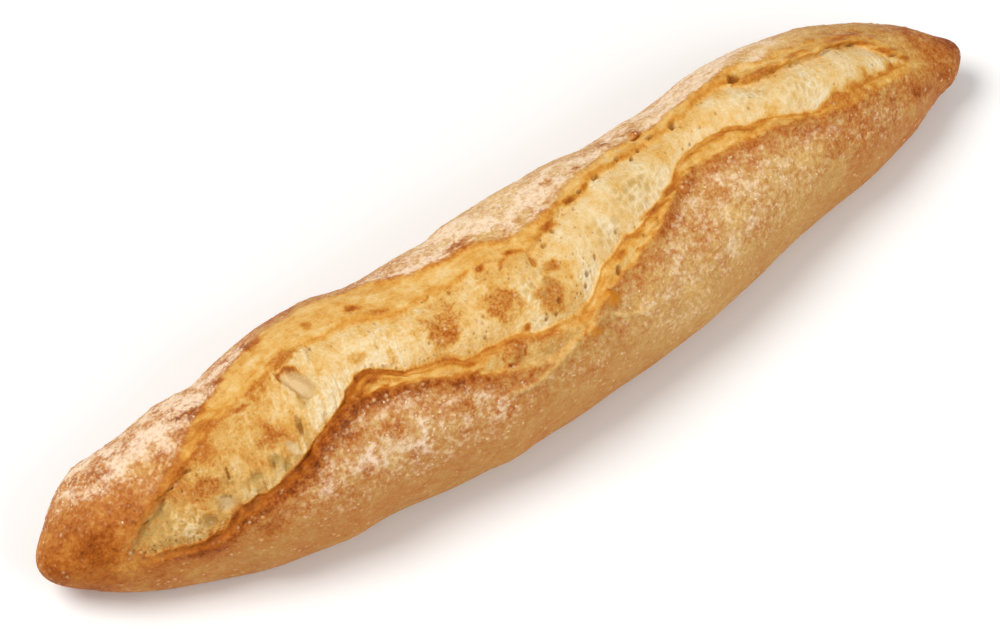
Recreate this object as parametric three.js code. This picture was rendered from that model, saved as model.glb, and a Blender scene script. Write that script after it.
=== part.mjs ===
// A short hand-shaped baguette: one solid loaf with pointed ends, a flat base, and a long
// opening along its crown where three slashes ran together. The dough rose through the
// slashes, so the crust stands up in lips beside the opening and the crumb lies lower between
// them. Outside each lip a strip of younger crust runs to the torn edge of the first skin.
//
// Frame: millimetres, +X along the loaf, +Y to its back, +Z up. The origin is on the ground,
// under the middle of the loaf.
//
// A place on the loaf is given by two numbers: its station, the share of the length from the
// -X tip (0 to 1), and its bearing, the angle round the cross-section in degrees (0 is the
// back, 90 the crown, 180 the front, 270 the middle of the base).
import * as THREE from "three";

// ---- driving sizes ----------------------------------------------------------------------
const LENGTH = 330; // tip to tip
const WIDTH = 69.5; // at the widest station
const HEIGHT_SHARE = 0.74; // crown height over the width at the same station
const WAIST_SHARE = 0.42; // height of the widest line over the crown height
const BASE_SINK = 5; // how far the lower half would reach under the ground if it were not flat
const CROWN_POWER = 2.15; // superellipse power above the widest line
const BELLY_POWER = 2.8; // and below it, where the loaf is squarer
const TIP_LIFT = 12; // height of the two tips over the ground
const TIP_LIFT_REACH = 0.12; // share of the length over which the underside rises to a tip
const NOSE_RISE = 2.3; // further rise of the underside at the very tip, which rounds the nose
const NOSE_REACH = 0.02;

// Station, width over WIDTH, and sideways bend of the centre line in millimetres.
const BODY = [
  [0, 0, 0],
  [0.02, 0.28, 0.3],
  [0.055, 0.52, 0.7],
  [0.11, 0.695, -0.9],
  [0.19, 0.845, -5.7],
  [0.28, 0.97, -5.8],
  [0.38, 0.965, -9.1],
  [0.48, 1, -8],
  [0.58, 0.965, -6.2],
  [0.68, 0.9, -2.7],
  [0.77, 0.85, 2.9],
  [0.85, 0.757, 4.7],
  [0.91, 0.606, 5.1],
  [0.955, 0.396, 3.7],
  [0.985, 0.206, 0.1],
  [1, 0, 0],
];

// Station and bearing of the crumb's front edge, and of the torn skin in front of it.
const FRONT_EDGE = [
  [0.05, 137],
  [0.066, 138],
  [0.08, 149],
  [0.12, 150],
  [0.143, 147],
  [0.165, 133.5],
  [0.2, 129.5],
  [0.24, 121],
  [0.28, 110],
  [0.318, 99.5],
  [0.345, 107],
  [0.38, 110.5],
  [0.402, 117.5],
  [0.44, 118],
  [0.47, 125],
  [0.5, 128],
  [0.525, 123],
  [0.55, 114],
  [0.58, 108],
  [0.6, 106],
  [0.62, 102],
  [0.645, 97],
  [0.67, 89],
  [0.695, 87.5],
  [0.72, 90],
  [0.75, 98],
  [0.78, 105],
  [0.82, 114],
  [0.88, 114],
  [0.92, 116],
  [0.95, 114],
];
const FRONT_SKIN = [
  [0.05, 142],
  [0.08, 155],
  [0.13, 155],
  [0.155, 146],
  [0.18, 138],
  [0.22, 131],
  [0.26, 118],
  [0.3, 112.3],
  [0.34, 114.5],
  [0.38, 121],
  [0.42, 133],
  [0.48, 140],
  [0.505, 138],
  [0.52, 131.5],
  [0.56, 122],
  [0.6, 116],
  [0.64, 103.5],
  [0.67, 97.5],
  [0.7, 98],
  [0.74, 104.8],
  [0.78, 111],
  [0.84, 121],
  [0.9, 122],
  [0.95, 117],
];

// The same on the back of the opening.
const BACK_EDGE = [
  [0.05, 136],
  [0.066, 135],
  [0.085, 122],
  [0.105, 113],
  [0.125, 103.5],
  [0.15, 93],
  [0.18, 82.5],
  [0.22, 78],
  [0.28, 73],
  [0.33, 72.5],
  [0.37, 79],
  [0.45, 81],
  [0.5, 87],
  [0.53, 82],
  [0.55, 77],
  [0.57, 74.5],
  [0.62, 69],
  [0.68, 67.3],
  [0.74, 64],
  [0.79, 79],
  [0.85, 80],
  [0.885, 81],
  [0.905, 89],
  [0.92, 102],
  [0.95, 111],
];
const BACK_SKIN = [
  [0.05, 131],
  [0.085, 116],
  [0.125, 97],
  [0.14, 89],
  [0.16, 78.5],
  [0.18, 69],
  [0.2, 62],
  [0.24, 50],
  [0.3, 44],
  [0.36, 46],
  [0.39, 55],
  [0.42, 64.6],
  [0.45, 67],
  [0.48, 75],
  [0.51, 77],
  [0.54, 74.5],
  [0.58, 67.5],
  [0.62, 60],
  [0.68, 60.5],
  [0.76, 58.5],
  [0.8, 67],
  [0.84, 69],
  [0.88, 69],
  [0.91, 80],
  [0.93, 96],
  [0.95, 105],
];
const OPENING_START = 0.066;
const OPENING_END = 0.948;
const OPENING_FADE = 0.02; // share of the length over which the relief dies out at each end

// How the opening is cut, in millimetres: how deep the crumb lies under each lip, how high each
// lip stands, how deep the groove between the crumb and the front lip is, how far the back lip
// leans over the crumb, how high the torn skin stands, and how broad the step down from the
// back lip is.
const CUT = [
  // station, depth front and back, lip front and back, groove, lean, skin front and back, step
  [0.066, 0.9, 0.8, 0.2, 0.4, 0.2, 0.2, 0, 0, 2],
  [0.12, 1, 1.2, 0.6, 0.7, 0.6, 0.4, 0, 0, 2.2],
  [0.16, 1, 0.9, 0.8, 0.5, 1, 0.2, 0.3, 0.3, 4],
  [0.24, 0.8, 0.5, 1, 0.3, 1.3, 0, 0.8, 0, 7],
  [0.31, 0.9, 0.4, 1.2, 0.3, 1.3, 0, 1.1, 0, 8],
  [0.4, 1.3, 0.7, 1.2, 0.5, 0.9, 0.1, 0.9, 0.7, 5],
  [0.5, 1.4, 1.2, 1, 0.8, 0.7, 0.3, 0.8, 0.8, 3],
  [0.6, 1.2, 0.9, 1.1, 0.8, 0.7, 0.1, 0.9, 0.7, 2.4],
  [0.7, 1.1, 0.9, 1.1, 0.8, 0.7, 0.1, 0.9, 0.7, 2.4],
  [0.78, 1, 1.4, 0.9, 1.2, 0.5, 0.5, 0.7, 0.9, 2],
  [0.87, 0.5, 2, 0.4, 1.7, 0.2, 1, 0.3, 0.6, 2],
  [0.935, 0.4, 1, 0.2, 0.7, 0, 0.3, 0, 0, 2],
];
const FRONT_STEP = 1.2; // breadth of the step down from the front lip
const BACK_STEP_SHARE = 0.75;
const FRONT_DEPTH_REACH = 4.2; // distance over which the crumb rises again from each edge
const BACK_DEPTH_REACH = 2.4;
const CRUMB_CROWN = 1.2; // how far the crumb swells in the middle of the opening
const CRUMB_CROWN_REACH = 8;
const GROOVE_OFFSET = 0.7; // distance of the groove outside the front edge, and its breadth
const GROOVE_WIDTH = 0.7;
const FRONT_LIP_OFFSET = 2.3; // distance of a lip's crest outside its edge
const BACK_LIP_OFFSET = 1;
const LIP_INNER = 0.85; // how sharply a lip falls to the crumb and to the crust
const LIP_OUTER = 2;
const SKIN_INNER = 0.5; // and how sharply the torn skin does
const SKIN_OUTER = 2.6;

// Wrinkles in the skin: height, width, and station and bearing along each.
const WRINKLES = [
  { height: 0.9, width: 0.9, line: [[0.41, 145], [0.444, 147], [0.47, 142.5], [0.5, 137.5]] },
  { height: 1, width: 0.9, line: [[0.5, 139], [0.523, 134.4], [0.548, 142], [0.575, 150]] },
  { height: 0.6, width: 1.4, line: [[0.15, 152], [0.18, 146], [0.22, 141]] },
];
const WRINKLE_FADE = 0.015;

// Swellings and hollows: station, bearing, reach along, reach across and height in millimetres.
const LUMPS = [
  // the burst bubble in the first slash, with the roll of crumb above it
  [0.2605, 90.7, 3.8, 7, -3.4],
  [0.272, 79, 5, 5, 1.2],
  // crumb that rose higher than the rest
  [0.36, 92, 14, 9, 0.9],
  [0.483, 90.7, 5.2, 4, 1.2],
  [0.86, 95, 22, 8, 1.3],
  // blisters in the front strip and on the back
  [0.437, 127, 3, 3, 1.1],
  [0.54, 130, 5, 4, 0.7],
  [0.513, 142, 4, 3.5, 0.7],
  [0.624, 51.7, 3, 2.6, 0.8],
  [0.654, 56.4, 2.4, 2.2, 1.4],
  // the back
  [0.072, 22, 5, 14, 0.7],
  [0.122, 24, 8, 14, -1.1],
  [0.156, 24, 6, 14, 0.8],
  [0.197, 24, 5, 14, -0.8],
  [0.25, 24, 14, 14, -0.5],
  [0.325, 26, 7, 14, 0.8],
  [0.443, 24, 4, 14, -1],
  [0.575, 24, 7, 14, 0.7],
  [0.622, 24, 9, 14, -0.8],
  // the front
  [0.043, 209, 6, 14, -0.6],
  [0.12, 206, 8, 14, 0.5],
  [0.151, 206, 6, 14, -1.5],
  [0.222, 204, 12, 14, 0.7],
  [0.253, 204, 6, 14, 0.6],
  [0.294, 204, 6, 14, -0.8],
  [0.35, 204, 12, 14, -0.9],
  [0.411, 204, 7, 14, 1.8],
  [0.529, 202, 7, 14, -0.7],
  [0.635, 202, 8, 14, 0.7],
  [0.802, 201, 5, 14, -0.9],
  [0.848, 201, 6, 14, 0.6],
  [0.887, 200, 4, 14, -0.7],
  [0.918, 199, 4, 14, 0.9],
];

// Slow unevenness of hand-rolled dough: height, wavelength along, turns round, phase along and
// phase round.
const WAVES = [
  [0.3, 71, 2, 0.6, 1.1],
  [0.22, 39, 5, 2.1, 0.3],
  [0.18, 23, 7, 4.4, 2.2],
];
const WAVE_START_HEIGHT = 3; // the unevenness grows between these heights, so the base is flat
const WAVE_FULL_HEIGHT = 14;
const CALM_TIP = 0.05; // share of the length at each tip over which the unevenness dies out

// ---- mesh density -----------------------------------------------------------------------
const NOSE_STATIONS = [0.0012, 0.004, 0.0085, 0.0145, 0.021]; // rings of each rounded tip
const BODY_START = 0.028; // the other rings are evenly spaced from here to the same at the far end
const BODY_RINGS = 138;
const WALL_STEPS = 8; // faces from the middle of the base up to the torn skin, on each side
const CRUMB_STEPS = 4;
const SKIN_MARKS = [5, 2, 0.7, 0]; // distances outside the torn skin where the crust is sampled
const STRIP_SHARE = 0.5; // then at this share of the way from the torn skin to the edge,
const FRONT_STRIP_MARKS = [2.3, 0.7, 0]; // and at these distances outside each edge
const BACK_STRIP_MARKS = [1.8, 1, 0];
const FLOOR_MARKS = [1, 2.6]; // distances inside an edge
const FULL_MARK_WIDTH = 50; // on a narrower section the marks close up

// ---- small functions --------------------------------------------------------------------
const RADIANS = Math.PI / 180;
const clamp01 = (v) => Math.min(1, Math.max(0, v));
const smooth = (v) => clamp01(v) ** 2 * (3 - 2 * clamp01(v));
const bell = (v) => Math.exp(-0.5 * v * v);
const skewBell = (v, below, above) => bell(v / (v < 0 ? below : above));
const signedPower = (v, p) => Math.sign(v) * Math.abs(v) ** p;
// Evenly spaced numbers from a to b, without b.
const spread = (a, b, count) => Array.from({ length: count }, (_, i) => a + ((b - a) * i) / count);

// A smooth curve through rows of [place, value, ...], which never swings past its rows.
function curve(rows, column = 1) {
  const x = rows.map((r) => r[0]);
  const y = rows.map((r) => r[column]);
  const slope = x.slice(1).map((v, i) => (y[i + 1] - y[i]) / (v - x[i]));
  const tangent = y.map((_, i) => {
    if (i === 0) return slope[0];
    if (i === y.length - 1) return slope[i - 1];
    const [a, b] = [slope[i - 1], slope[i]];
    return a * b <= 0 ? 0 : (2 * a * b) / (a + b);
  });
  return (at) => {
    const v = Math.min(x[x.length - 1], Math.max(x[0], at));
    let i = 0;
    while (i < x.length - 2 && v > x[i + 1]) i += 1;
    const h = x[i + 1] - x[i];
    const t = (v - x[i]) / h;
    const step = y[i] + t * t * (3 - 2 * t) * (y[i + 1] - y[i]);
    return step + h * t * (1 - t) * ((1 - t) * tangent[i] - t * tangent[i + 1]);
  };
}

// ---- the plain loaf, before it is slashed -----------------------------------------------
// Squares of the widths are interpolated, so that a tip closes round and not to a spike.
const widthSquared = curve(BODY.map(([s, w]) => [s, (w * WIDTH) ** 2]));
const widthAt = (station) => Math.sqrt(Math.max(widthSquared(station), 0));
const bend = curve(BODY, 2);

function plainPoint(station, bearing) {
  const width = widthAt(station);
  const height = HEIGHT_SHARE * width;
  const waist = WAIST_SHARE * height;
  const toTip = Math.min(station, 1 - station);
  const [c, s] = [Math.cos(bearing * RADIANS), Math.sin(bearing * RADIANS)];
  const power = 2 / (s > 0 ? CROWN_POWER : BELLY_POWER);
  const reach = s > 0 ? height - waist : waist + BASE_SINK * clamp01(toTip / TIP_LIFT_REACH);
  const lift = TIP_LIFT * clamp01(1 - toTip / TIP_LIFT_REACH) ** 2;
  const nose = NOSE_RISE * clamp01(1 - Math.sqrt(toTip / NOSE_REACH)) ** 2;
  return new THREE.Vector3(
    (station - 0.5) * LENGTH,
    bend(station) + (width / 2) * signedPower(c, power),
    Math.max(0, waist + reach * signedPower(s, power)) + lift + nose,
  );
}

// Unit vectors at a place, outwards and round the section towards larger bearings, and the
// millimetres of skin in one degree of bearing there.
function frameAt(station, bearing) {
  const inner = Math.min(0.999, Math.max(0.001, station));
  const along = plainPoint(inner + 5e-4, bearing).sub(plainPoint(inner - 5e-4, bearing));
  const round = plainPoint(inner, bearing + 0.5).sub(plainPoint(inner, bearing - 0.5));
  const out = round.clone().cross(along).normalize();
  return { out, round: round.clone().normalize(), perDegree: round.length() };
}

// ---- the relief -------------------------------------------------------------------------
const cuts = Array.from({ length: CUT[0].length - 1 }, (_, i) => curve(CUT, i + 1));
const frontEdge = curve(FRONT_EDGE);
const frontSkin = curve(FRONT_SKIN);
const backEdge = curve(BACK_EDGE);
const backSkin = curve(BACK_SKIN);
const wrinkles = WRINKLES.map((wrinkle) => ({ ...wrinkle, path: curve(wrinkle.line) }));

// Distance in millimetres from a line of bearings, measured square to it, positive where the
// bearing is larger than the line's.
function distanceFrom(line, station, bearing) {
  const perDegree = frameAt(station, line(station)).perDegree;
  const slant = ((line(station + 0.004) - line(station - 0.004)) / 0.008) * (perDegree / LENGTH);
  return ((bearing - line(station)) * perDegree) / Math.hypot(1, slant);
}

const fadeBetween = (station, start, end, fade) =>
  smooth((station - start) / fade) * smooth((end - station) / fade);

// Relief of the opening: how far a place moves outwards and towards larger bearings.
function openingRelief(station, bearing) {
  const open = fadeBetween(station, OPENING_START, OPENING_END, OPENING_FADE);
  if (open === 0) return [0, 0];
  const [depthF, depthB, lipF, lipB, grooveF, leanB, skinF, skinB, stepB] = cuts.map((f) => f(station));
  // distances outside the two edges and the two lines of torn skin
  const edgeF = distanceFrom(frontEdge, station, bearing);
  const edgeB = -distanceFrom(backEdge, station, bearing);
  const tornF = distanceFrom(frontSkin, station, bearing);
  const tornB = -distanceFrom(backSkin, station, bearing);
  const inside = smooth(-edgeF / FRONT_STEP) * smooth(-edgeB / (BACK_STEP_SHARE * stepB));
  const floor =
    CRUMB_CROWN * smooth(Math.min(-edgeF, -edgeB) / CRUMB_CROWN_REACH) -
    depthF * Math.exp(Math.min(edgeF, 0) / FRONT_DEPTH_REACH) -
    depthB * Math.exp(Math.min(edgeB, 0) / BACK_DEPTH_REACH);
  const groove = grooveF * bell((edgeF - GROOVE_OFFSET) / GROOVE_WIDTH);
  const crestF = skewBell(edgeF - FRONT_LIP_OFFSET, LIP_INNER, LIP_OUTER);
  const crestB = skewBell(edgeB - BACK_LIP_OFFSET, LIP_INNER, LIP_OUTER);
  const foldF = skinF * skewBell(tornF, SKIN_INNER, SKIN_OUTER);
  const foldB = skinB * skewBell(tornB, SKIN_INNER, SKIN_OUTER);
  const lips = lipF * crestF + lipB * crestB + foldF + foldB;
  return [open * (inside * floor + lips - groove), open * leanB * crestB];
}

function wrinkleRelief(station, bearing) {
  let height = 0;
  for (const wrinkle of wrinkles) {
    const there = fadeBetween(station, wrinkle.line[0][0], wrinkle.line.at(-1)[0], WRINKLE_FADE);
    if (there === 0) continue;
    height += wrinkle.height * there * bell(distanceFrom(wrinkle.path, station, bearing) / wrinkle.width);
  }
  return height;
}

function lumpRelief(station, bearing) {
  let height = 0;
  for (const [s, b, along, across, rise] of LUMPS) {
    const near = ((station - s) * LENGTH) / along;
    if (Math.abs(near) > 3) continue;
    const aside = ((bearing - b) * frameAt(s, b).perDegree) / across;
    height += rise * bell(Math.hypot(near, aside) * 1.25);
  }
  return height;
}

function waveRelief(station, bearing) {
  let height = 0;
  for (const [rise, wavelength, turns, along, round] of WAVES) {
    const lengthwise = Math.sin((2 * Math.PI * station * LENGTH) / wavelength + along);
    height += rise * lengthwise * Math.cos(turns * bearing * RADIANS + round);
  }
  return height;
}

// A point of the finished loaf.
function loafPoint(station, bearing) {
  const point = plainPoint(station, bearing);
  const { out, round } = frameAt(station, bearing);
  const toTip = Math.min(station, 1 - station) / CALM_TIP;
  const offGround = smooth((point.z - WAVE_START_HEIGHT) / (WAVE_FULL_HEIGHT - WAVE_START_HEIGHT));
  const [outwards, sideways] = openingRelief(station, bearing);
  const uneven = offGround * smooth(toTip) * (lumpRelief(station, bearing) + waveRelief(station, bearing));
  const relief = outwards + wrinkleRelief(station, bearing) + uneven;
  return point.addScaledVector(out, relief).addScaledVector(round, sideways);
}

// ---- the mesh: rings of bearings, closed by one point at each tip --------------------------
// Bearings of one ring, from the middle of the base round the back, the crown and the front.
// They gather at the lips and the torn skin, so that those stay sharp.
function ringBearings(station) {
  const closeUp = Math.min(1, widthAt(station) / FULL_MARK_WIDTH);
  const [edgeF, skinF, edgeB, skinB] = [frontEdge, frontSkin, backEdge, backSkin].map((f) => f(station));
  const scaleF = closeUp / frameAt(station, edgeF).perDegree;
  const scaleB = closeUp / frameAt(station, edgeB).perDegree;
  const half = (edgeF - edgeB) / 2;
  const floorAt = (mm, i, scale) => Math.min(mm * scale, half * (0.3 + 0.3 * i));
  const crustB = SKIN_MARKS.map((mm) => skinB - mm * scaleB);
  const crustF = SKIN_MARKS.map((mm) => skinF + mm * scaleF).reverse();
  // a narrow strip has its marks closer together, so that they never cross the torn skin
  const stripAt = (skin, edge, mm, scale, i) => {
    const most = Math.abs(skin - edge) * (0.34 - 0.17 * i);
    return edge + Math.sign(skin - edge) * Math.min(mm * scale, Math.max(most, 0));
  };
  const middleB = skinB + STRIP_SHARE * (edgeB - skinB);
  const middleF = skinF + STRIP_SHARE * (edgeF - skinF);
  const stripB = [middleB, ...BACK_STRIP_MARKS.map((mm, i) => stripAt(skinB, edgeB, mm, scaleB, i))];
  const stripF = [
    ...FRONT_STRIP_MARKS.map((mm, i) => stripAt(skinF, edgeF, mm, scaleF, i)).reverse(),
    middleF,
  ];
  const floorB = FLOOR_MARKS.map((mm, i) => edgeB + floorAt(mm, i, scaleB));
  const floorF = FLOOR_MARKS.map((mm, i) => edgeF - floorAt(mm, i, scaleF)).reverse();
  return [
    ...spread(-90, crustB[0], WALL_STEPS),
    ...crustB,
    ...stripB,
    ...floorB,
    ...spread(floorB.at(-1), floorF[0], CRUMB_STEPS).slice(1),
    ...floorF,
    ...stripF,
    ...crustF,
    ...spread(crustF.at(-1), 270, WALL_STEPS).slice(1),
  ];
}

function loafGeometry() {
  const stations = [
    ...NOSE_STATIONS,
    ...spread(BODY_START, 1 - BODY_START, BODY_RINGS - 1),
    1 - BODY_START,
    ...NOSE_STATIONS.map((s) => 1 - s).reverse(),
  ];
  const positions = [];
  const faces = [];
  let columns = 0;
  for (const station of stations) {
    const bearings = ringBearings(station);
    columns = bearings.length;
    for (const bearing of bearings) positions.push(...loafPoint(station, bearing).toArray());
  }
  const startTip = positions.length / 3;
  positions.push(...plainPoint(0, 0).toArray(), ...plainPoint(1, 0).toArray());
  const at = (ring, column) => ring * columns + (column % columns);
  const lastRing = stations.length - 1;
  for (let column = 0; column < columns; column += 1) {
    faces.push(startTip, at(0, column + 1), at(0, column));
    for (let ring = 0; ring < lastRing; ring += 1) {
      const [a, b] = [at(ring, column), at(ring, column + 1)];
      const [c, d] = [at(ring + 1, column), at(ring + 1, column + 1)];
      faces.push(a, b, c, b, d, c);
    }
    faces.push(startTip + 1, at(lastRing, column), at(lastRing, column + 1));
  }
  const geometry = new THREE.BufferGeometry();
  geometry.setAttribute("position", new THREE.Float32BufferAttribute(positions, 3));
  geometry.setIndex(faces);
  geometry.computeBoundingBox();
  const middle = geometry.boundingBox.getCenter(new THREE.Vector3());
  geometry.translate(-middle.x, -middle.y, -geometry.boundingBox.min.z);
  geometry.computeVertexNormals();
  return geometry;
}

const bakedCrust = new THREE.MeshStandardMaterial({ color: 0xc98f4a, roughness: 0.75, metalness: 0 });

const loaf = new THREE.Mesh(loafGeometry(), bakedCrust);
loaf.name = "loaf";

const baguette = new THREE.Group();
baguette.add(loaf);
export default baguette;
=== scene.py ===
# %% [markdown]
# # A hand-shaped baguette
# A small rustic loaf: pointed ends, a base baked flat on the oven floor, and three slanting
# slashes that ran together into one long opening. The whole of it is one skin, so it is made as
# one mesh. A plain loaf is swept first, then relief is added to it in the order in which a
# baker's loaf gets it: rising, slashing, tearing, bubbling, browning and flour.

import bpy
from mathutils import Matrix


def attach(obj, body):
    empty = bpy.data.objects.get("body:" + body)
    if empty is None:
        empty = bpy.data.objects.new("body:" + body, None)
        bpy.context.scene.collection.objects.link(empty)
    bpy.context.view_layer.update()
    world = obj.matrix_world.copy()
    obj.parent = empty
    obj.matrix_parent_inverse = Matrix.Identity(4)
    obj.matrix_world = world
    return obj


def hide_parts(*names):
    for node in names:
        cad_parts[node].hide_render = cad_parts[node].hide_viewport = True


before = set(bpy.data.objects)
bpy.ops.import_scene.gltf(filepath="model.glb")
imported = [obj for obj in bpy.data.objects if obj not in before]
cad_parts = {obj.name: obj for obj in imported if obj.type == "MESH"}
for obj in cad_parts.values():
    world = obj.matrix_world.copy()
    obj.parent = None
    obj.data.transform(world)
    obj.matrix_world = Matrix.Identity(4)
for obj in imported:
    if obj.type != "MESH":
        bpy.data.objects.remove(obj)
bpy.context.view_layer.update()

# %% [markdown]
# Blender's own lengths are metres, but a loaf is easier to think of in millimetres. Every size
# below is in millimetres, and is turned to metres once, when the mesh is made.

# %% Tools
import math

import bpy
import numpy as np
from mathutils import Matrix, Vector

MM = 0.001


def smooth(v):
    """0 below 0, 1 above 1, and an even S between."""
    v = np.clip(v, 0.0, 1.0)
    return v * v * (3 - 2 * v)


def bell(v):
    return np.exp(-0.5 * np.square(v))


def show(what, values):
    """Prints the least and the most of some values."""
    print(what + ":", values.min().round(2), "to", values.max().round(2))


def curve(rows, column=1):
    """A smooth curve through rows of (place, value, ...), which never swings past its rows."""
    x = np.array([row[0] for row in rows], float)
    y = np.array([row[column] for row in rows], float)
    slope = np.diff(y) / np.diff(x)
    tangent = np.concatenate([slope[:1], np.zeros(len(x) - 2), slope[-1:]])
    same = slope[:-1] * slope[1:] > 0
    total = np.where(same, slope[:-1] + slope[1:], 1)
    tangent[1:-1] = np.where(same, 2 * slope[:-1] * slope[1:] / total, 0)

    def value(at):
        v = np.clip(at, x[0], x[-1])
        i = np.clip(np.searchsorted(x, v, side="right") - 1, 0, len(x) - 2)
        h = x[i + 1] - x[i]
        t = (v - x[i]) / h
        step = y[i] + t * t * (3 - 2 * t) * (y[i + 1] - y[i])
        return step + h * t * (1 - t) * ((1 - t) * tangent[i] - t * tangent[i + 1])

    return value


# %% [markdown]
# ## The plain loaf
# Dough rolled by hand swells in the middle and thins to two rounded tips. Its cross-section is a
# superellipse, squarer below the widest line, and cut off flat where it sat on the oven floor. A
# place on it is given by its station, from 0 at one tip to 1 at the other, and its bearing round
# the section: 0 is the back, 90 the crown, 180 the front and 270 the middle of the base.

# %% Sizes of the loaf
LENGTH, WIDTH = 330.0, 69.5
HEIGHT_SHARE, WAIST_SHARE = 0.74, 0.42  # of the width, and of the height
BASE_SINK = 5.0  # how much deeper the section would hang if the floor didn't cut it off
CROWN_POWER, BELLY_POWER = 2.15, 2.8  # how square the section is above and below its waist
TIP_LIFT, TIP_LIFT_REACH = 12.0, 0.12  # how far the tips rise off the floor
NOSE_RISE, NOSE_REACH = 2.3, 0.02
CENTRE_SHIFT = 5.787  # moves the bent loaf sideways, so that its box is centred

# station, width as a share of WIDTH, and how far the centre line bends to the back
BODY = [
    (0, 0, 0),
    (0.02, 0.28, 0.3),
    (0.055, 0.52, 0.7),
    (0.11, 0.695, -0.9),
    (0.19, 0.845, -5.7),
    (0.28, 0.97, -5.8),
    (0.38, 0.965, -9.1),
    (0.48, 1, -8),
    (0.58, 0.965, -6.2),
    (0.68, 0.9, -2.7),
    (0.77, 0.85, 2.9),
    (0.85, 0.757, 4.7),
    (0.91, 0.606, 5.1),
    (0.955, 0.396, 3.7),
    (0.985, 0.206, 0.1),
    (1, 0, 0),
]
width_squared = curve([(s, (w * WIDTH) ** 2) for s, w, _ in BODY])
bend = curve(BODY, 2)


def plain_loaf(station, bearing):
    """Points of the loaf before it is slashed, in millimetres."""
    width = np.sqrt(np.maximum(width_squared(station), 0))
    height = HEIGHT_SHARE * width
    waist = WAIST_SHARE * height
    to_tip = np.minimum(station, 1 - station)
    c, s = np.cos(np.radians(bearing)), np.sin(np.radians(bearing))
    power = 2 / np.where(s > 0, CROWN_POWER, BELLY_POWER)
    sink = BASE_SINK * np.clip(to_tip / TIP_LIFT_REACH, 0, 1)
    reach = np.where(s > 0, height - waist, waist + sink)
    lift = TIP_LIFT * np.clip(1 - to_tip / TIP_LIFT_REACH, 0, 1) ** 2
    nose = NOSE_RISE * np.clip(1 - np.sqrt(np.maximum(to_tip, 0) / NOSE_REACH), 0, 1) ** 2
    x = (station - 0.5) * LENGTH + 0 * bearing
    y = bend(station) + width / 2 * np.sign(c) * np.abs(c) ** power
    z = np.maximum(waist + reach * np.sign(s) * np.abs(s) ** power, 0) + lift + nose
    return np.stack([x, y, z], -1)


def skin_frame(station, bearing):
    """Unit vectors outwards and round the section, and the millimetres of skin in one degree."""
    inner = np.clip(station, 0.001, 0.999)
    along = plain_loaf(inner + 5e-4, bearing) - plain_loaf(inner - 5e-4, bearing)
    around = plain_loaf(inner, bearing + 0.5) - plain_loaf(inner, bearing - 0.5)
    out = np.cross(around, along)
    out /= np.linalg.norm(out, axis=-1, keepdims=True)
    per_degree = np.linalg.norm(around, axis=-1)
    return out, around / per_degree[..., None], per_degree


# %% [markdown]
# ## The slashes
# A blade held almost flat opens the skin, the dough pushes up through the cut, and a second skin
# forms on it and tears in turn. So each side of the opening has two lines: the torn edge of the
# first skin, and nearer the middle the edge of the bare crumb. They are drawn as bearings along
# the loaf.

# %% Lines of the opening
LINES = {
    "front edge": [
        (0.05, 137), (0.066, 138), (0.08, 149), (0.12, 150), (0.143, 147), (0.165, 133.5),
        (0.2, 129.5), (0.24, 121), (0.28, 110), (0.318, 99.5), (0.345, 107), (0.38, 110.5),
        (0.402, 117.5), (0.44, 118), (0.47, 125), (0.5, 128), (0.525, 123), (0.55, 114),
        (0.58, 108), (0.6, 106), (0.62, 102), (0.645, 97), (0.67, 89), (0.695, 87.5), (0.72, 90),
        (0.75, 98), (0.78, 105), (0.82, 114), (0.88, 114), (0.92, 116), (0.95, 114),
    ],
    "front skin": [
        (0.05, 142), (0.08, 155), (0.13, 155), (0.155, 146), (0.18, 138), (0.22, 131),
        (0.26, 118), (0.3, 112.3), (0.34, 114.5), (0.38, 121), (0.42, 133), (0.48, 140),
        (0.505, 138), (0.52, 131.5), (0.56, 122), (0.6, 116), (0.64, 103.5), (0.67, 97.5),
        (0.7, 98), (0.74, 104.8), (0.78, 111), (0.84, 121), (0.9, 122), (0.95, 117),
    ],
    "back edge": [
        (0.05, 136), (0.066, 135), (0.085, 122), (0.105, 113), (0.125, 103.5), (0.15, 93),
        (0.18, 82.5), (0.22, 78), (0.28, 73), (0.33, 72.5), (0.37, 79), (0.45, 81), (0.5, 87),
        (0.53, 82), (0.55, 77), (0.57, 74.5), (0.62, 69), (0.68, 67.3), (0.74, 64), (0.79, 79),
        (0.85, 80), (0.885, 81), (0.905, 89), (0.92, 102), (0.95, 111),
    ],
    "back skin": [
        (0.05, 131), (0.085, 116), (0.125, 97), (0.14, 89), (0.16, 78.5), (0.18, 69), (0.2, 62),
        (0.24, 50), (0.3, 44), (0.36, 46), (0.39, 55), (0.42, 64.6), (0.45, 67), (0.48, 75),
        (0.51, 77), (0.54, 74.5), (0.58, 67.5), (0.62, 60), (0.68, 60.5), (0.76, 58.5), (0.8, 67),
        (0.84, 69), (0.88, 69), (0.91, 80), (0.93, 96), (0.95, 105),
    ],
}
LINES = {name: curve(rows) for name, rows in LINES.items()}
OPENING = (0.066, 0.948)
OPENING_FADE = 0.02

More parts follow.
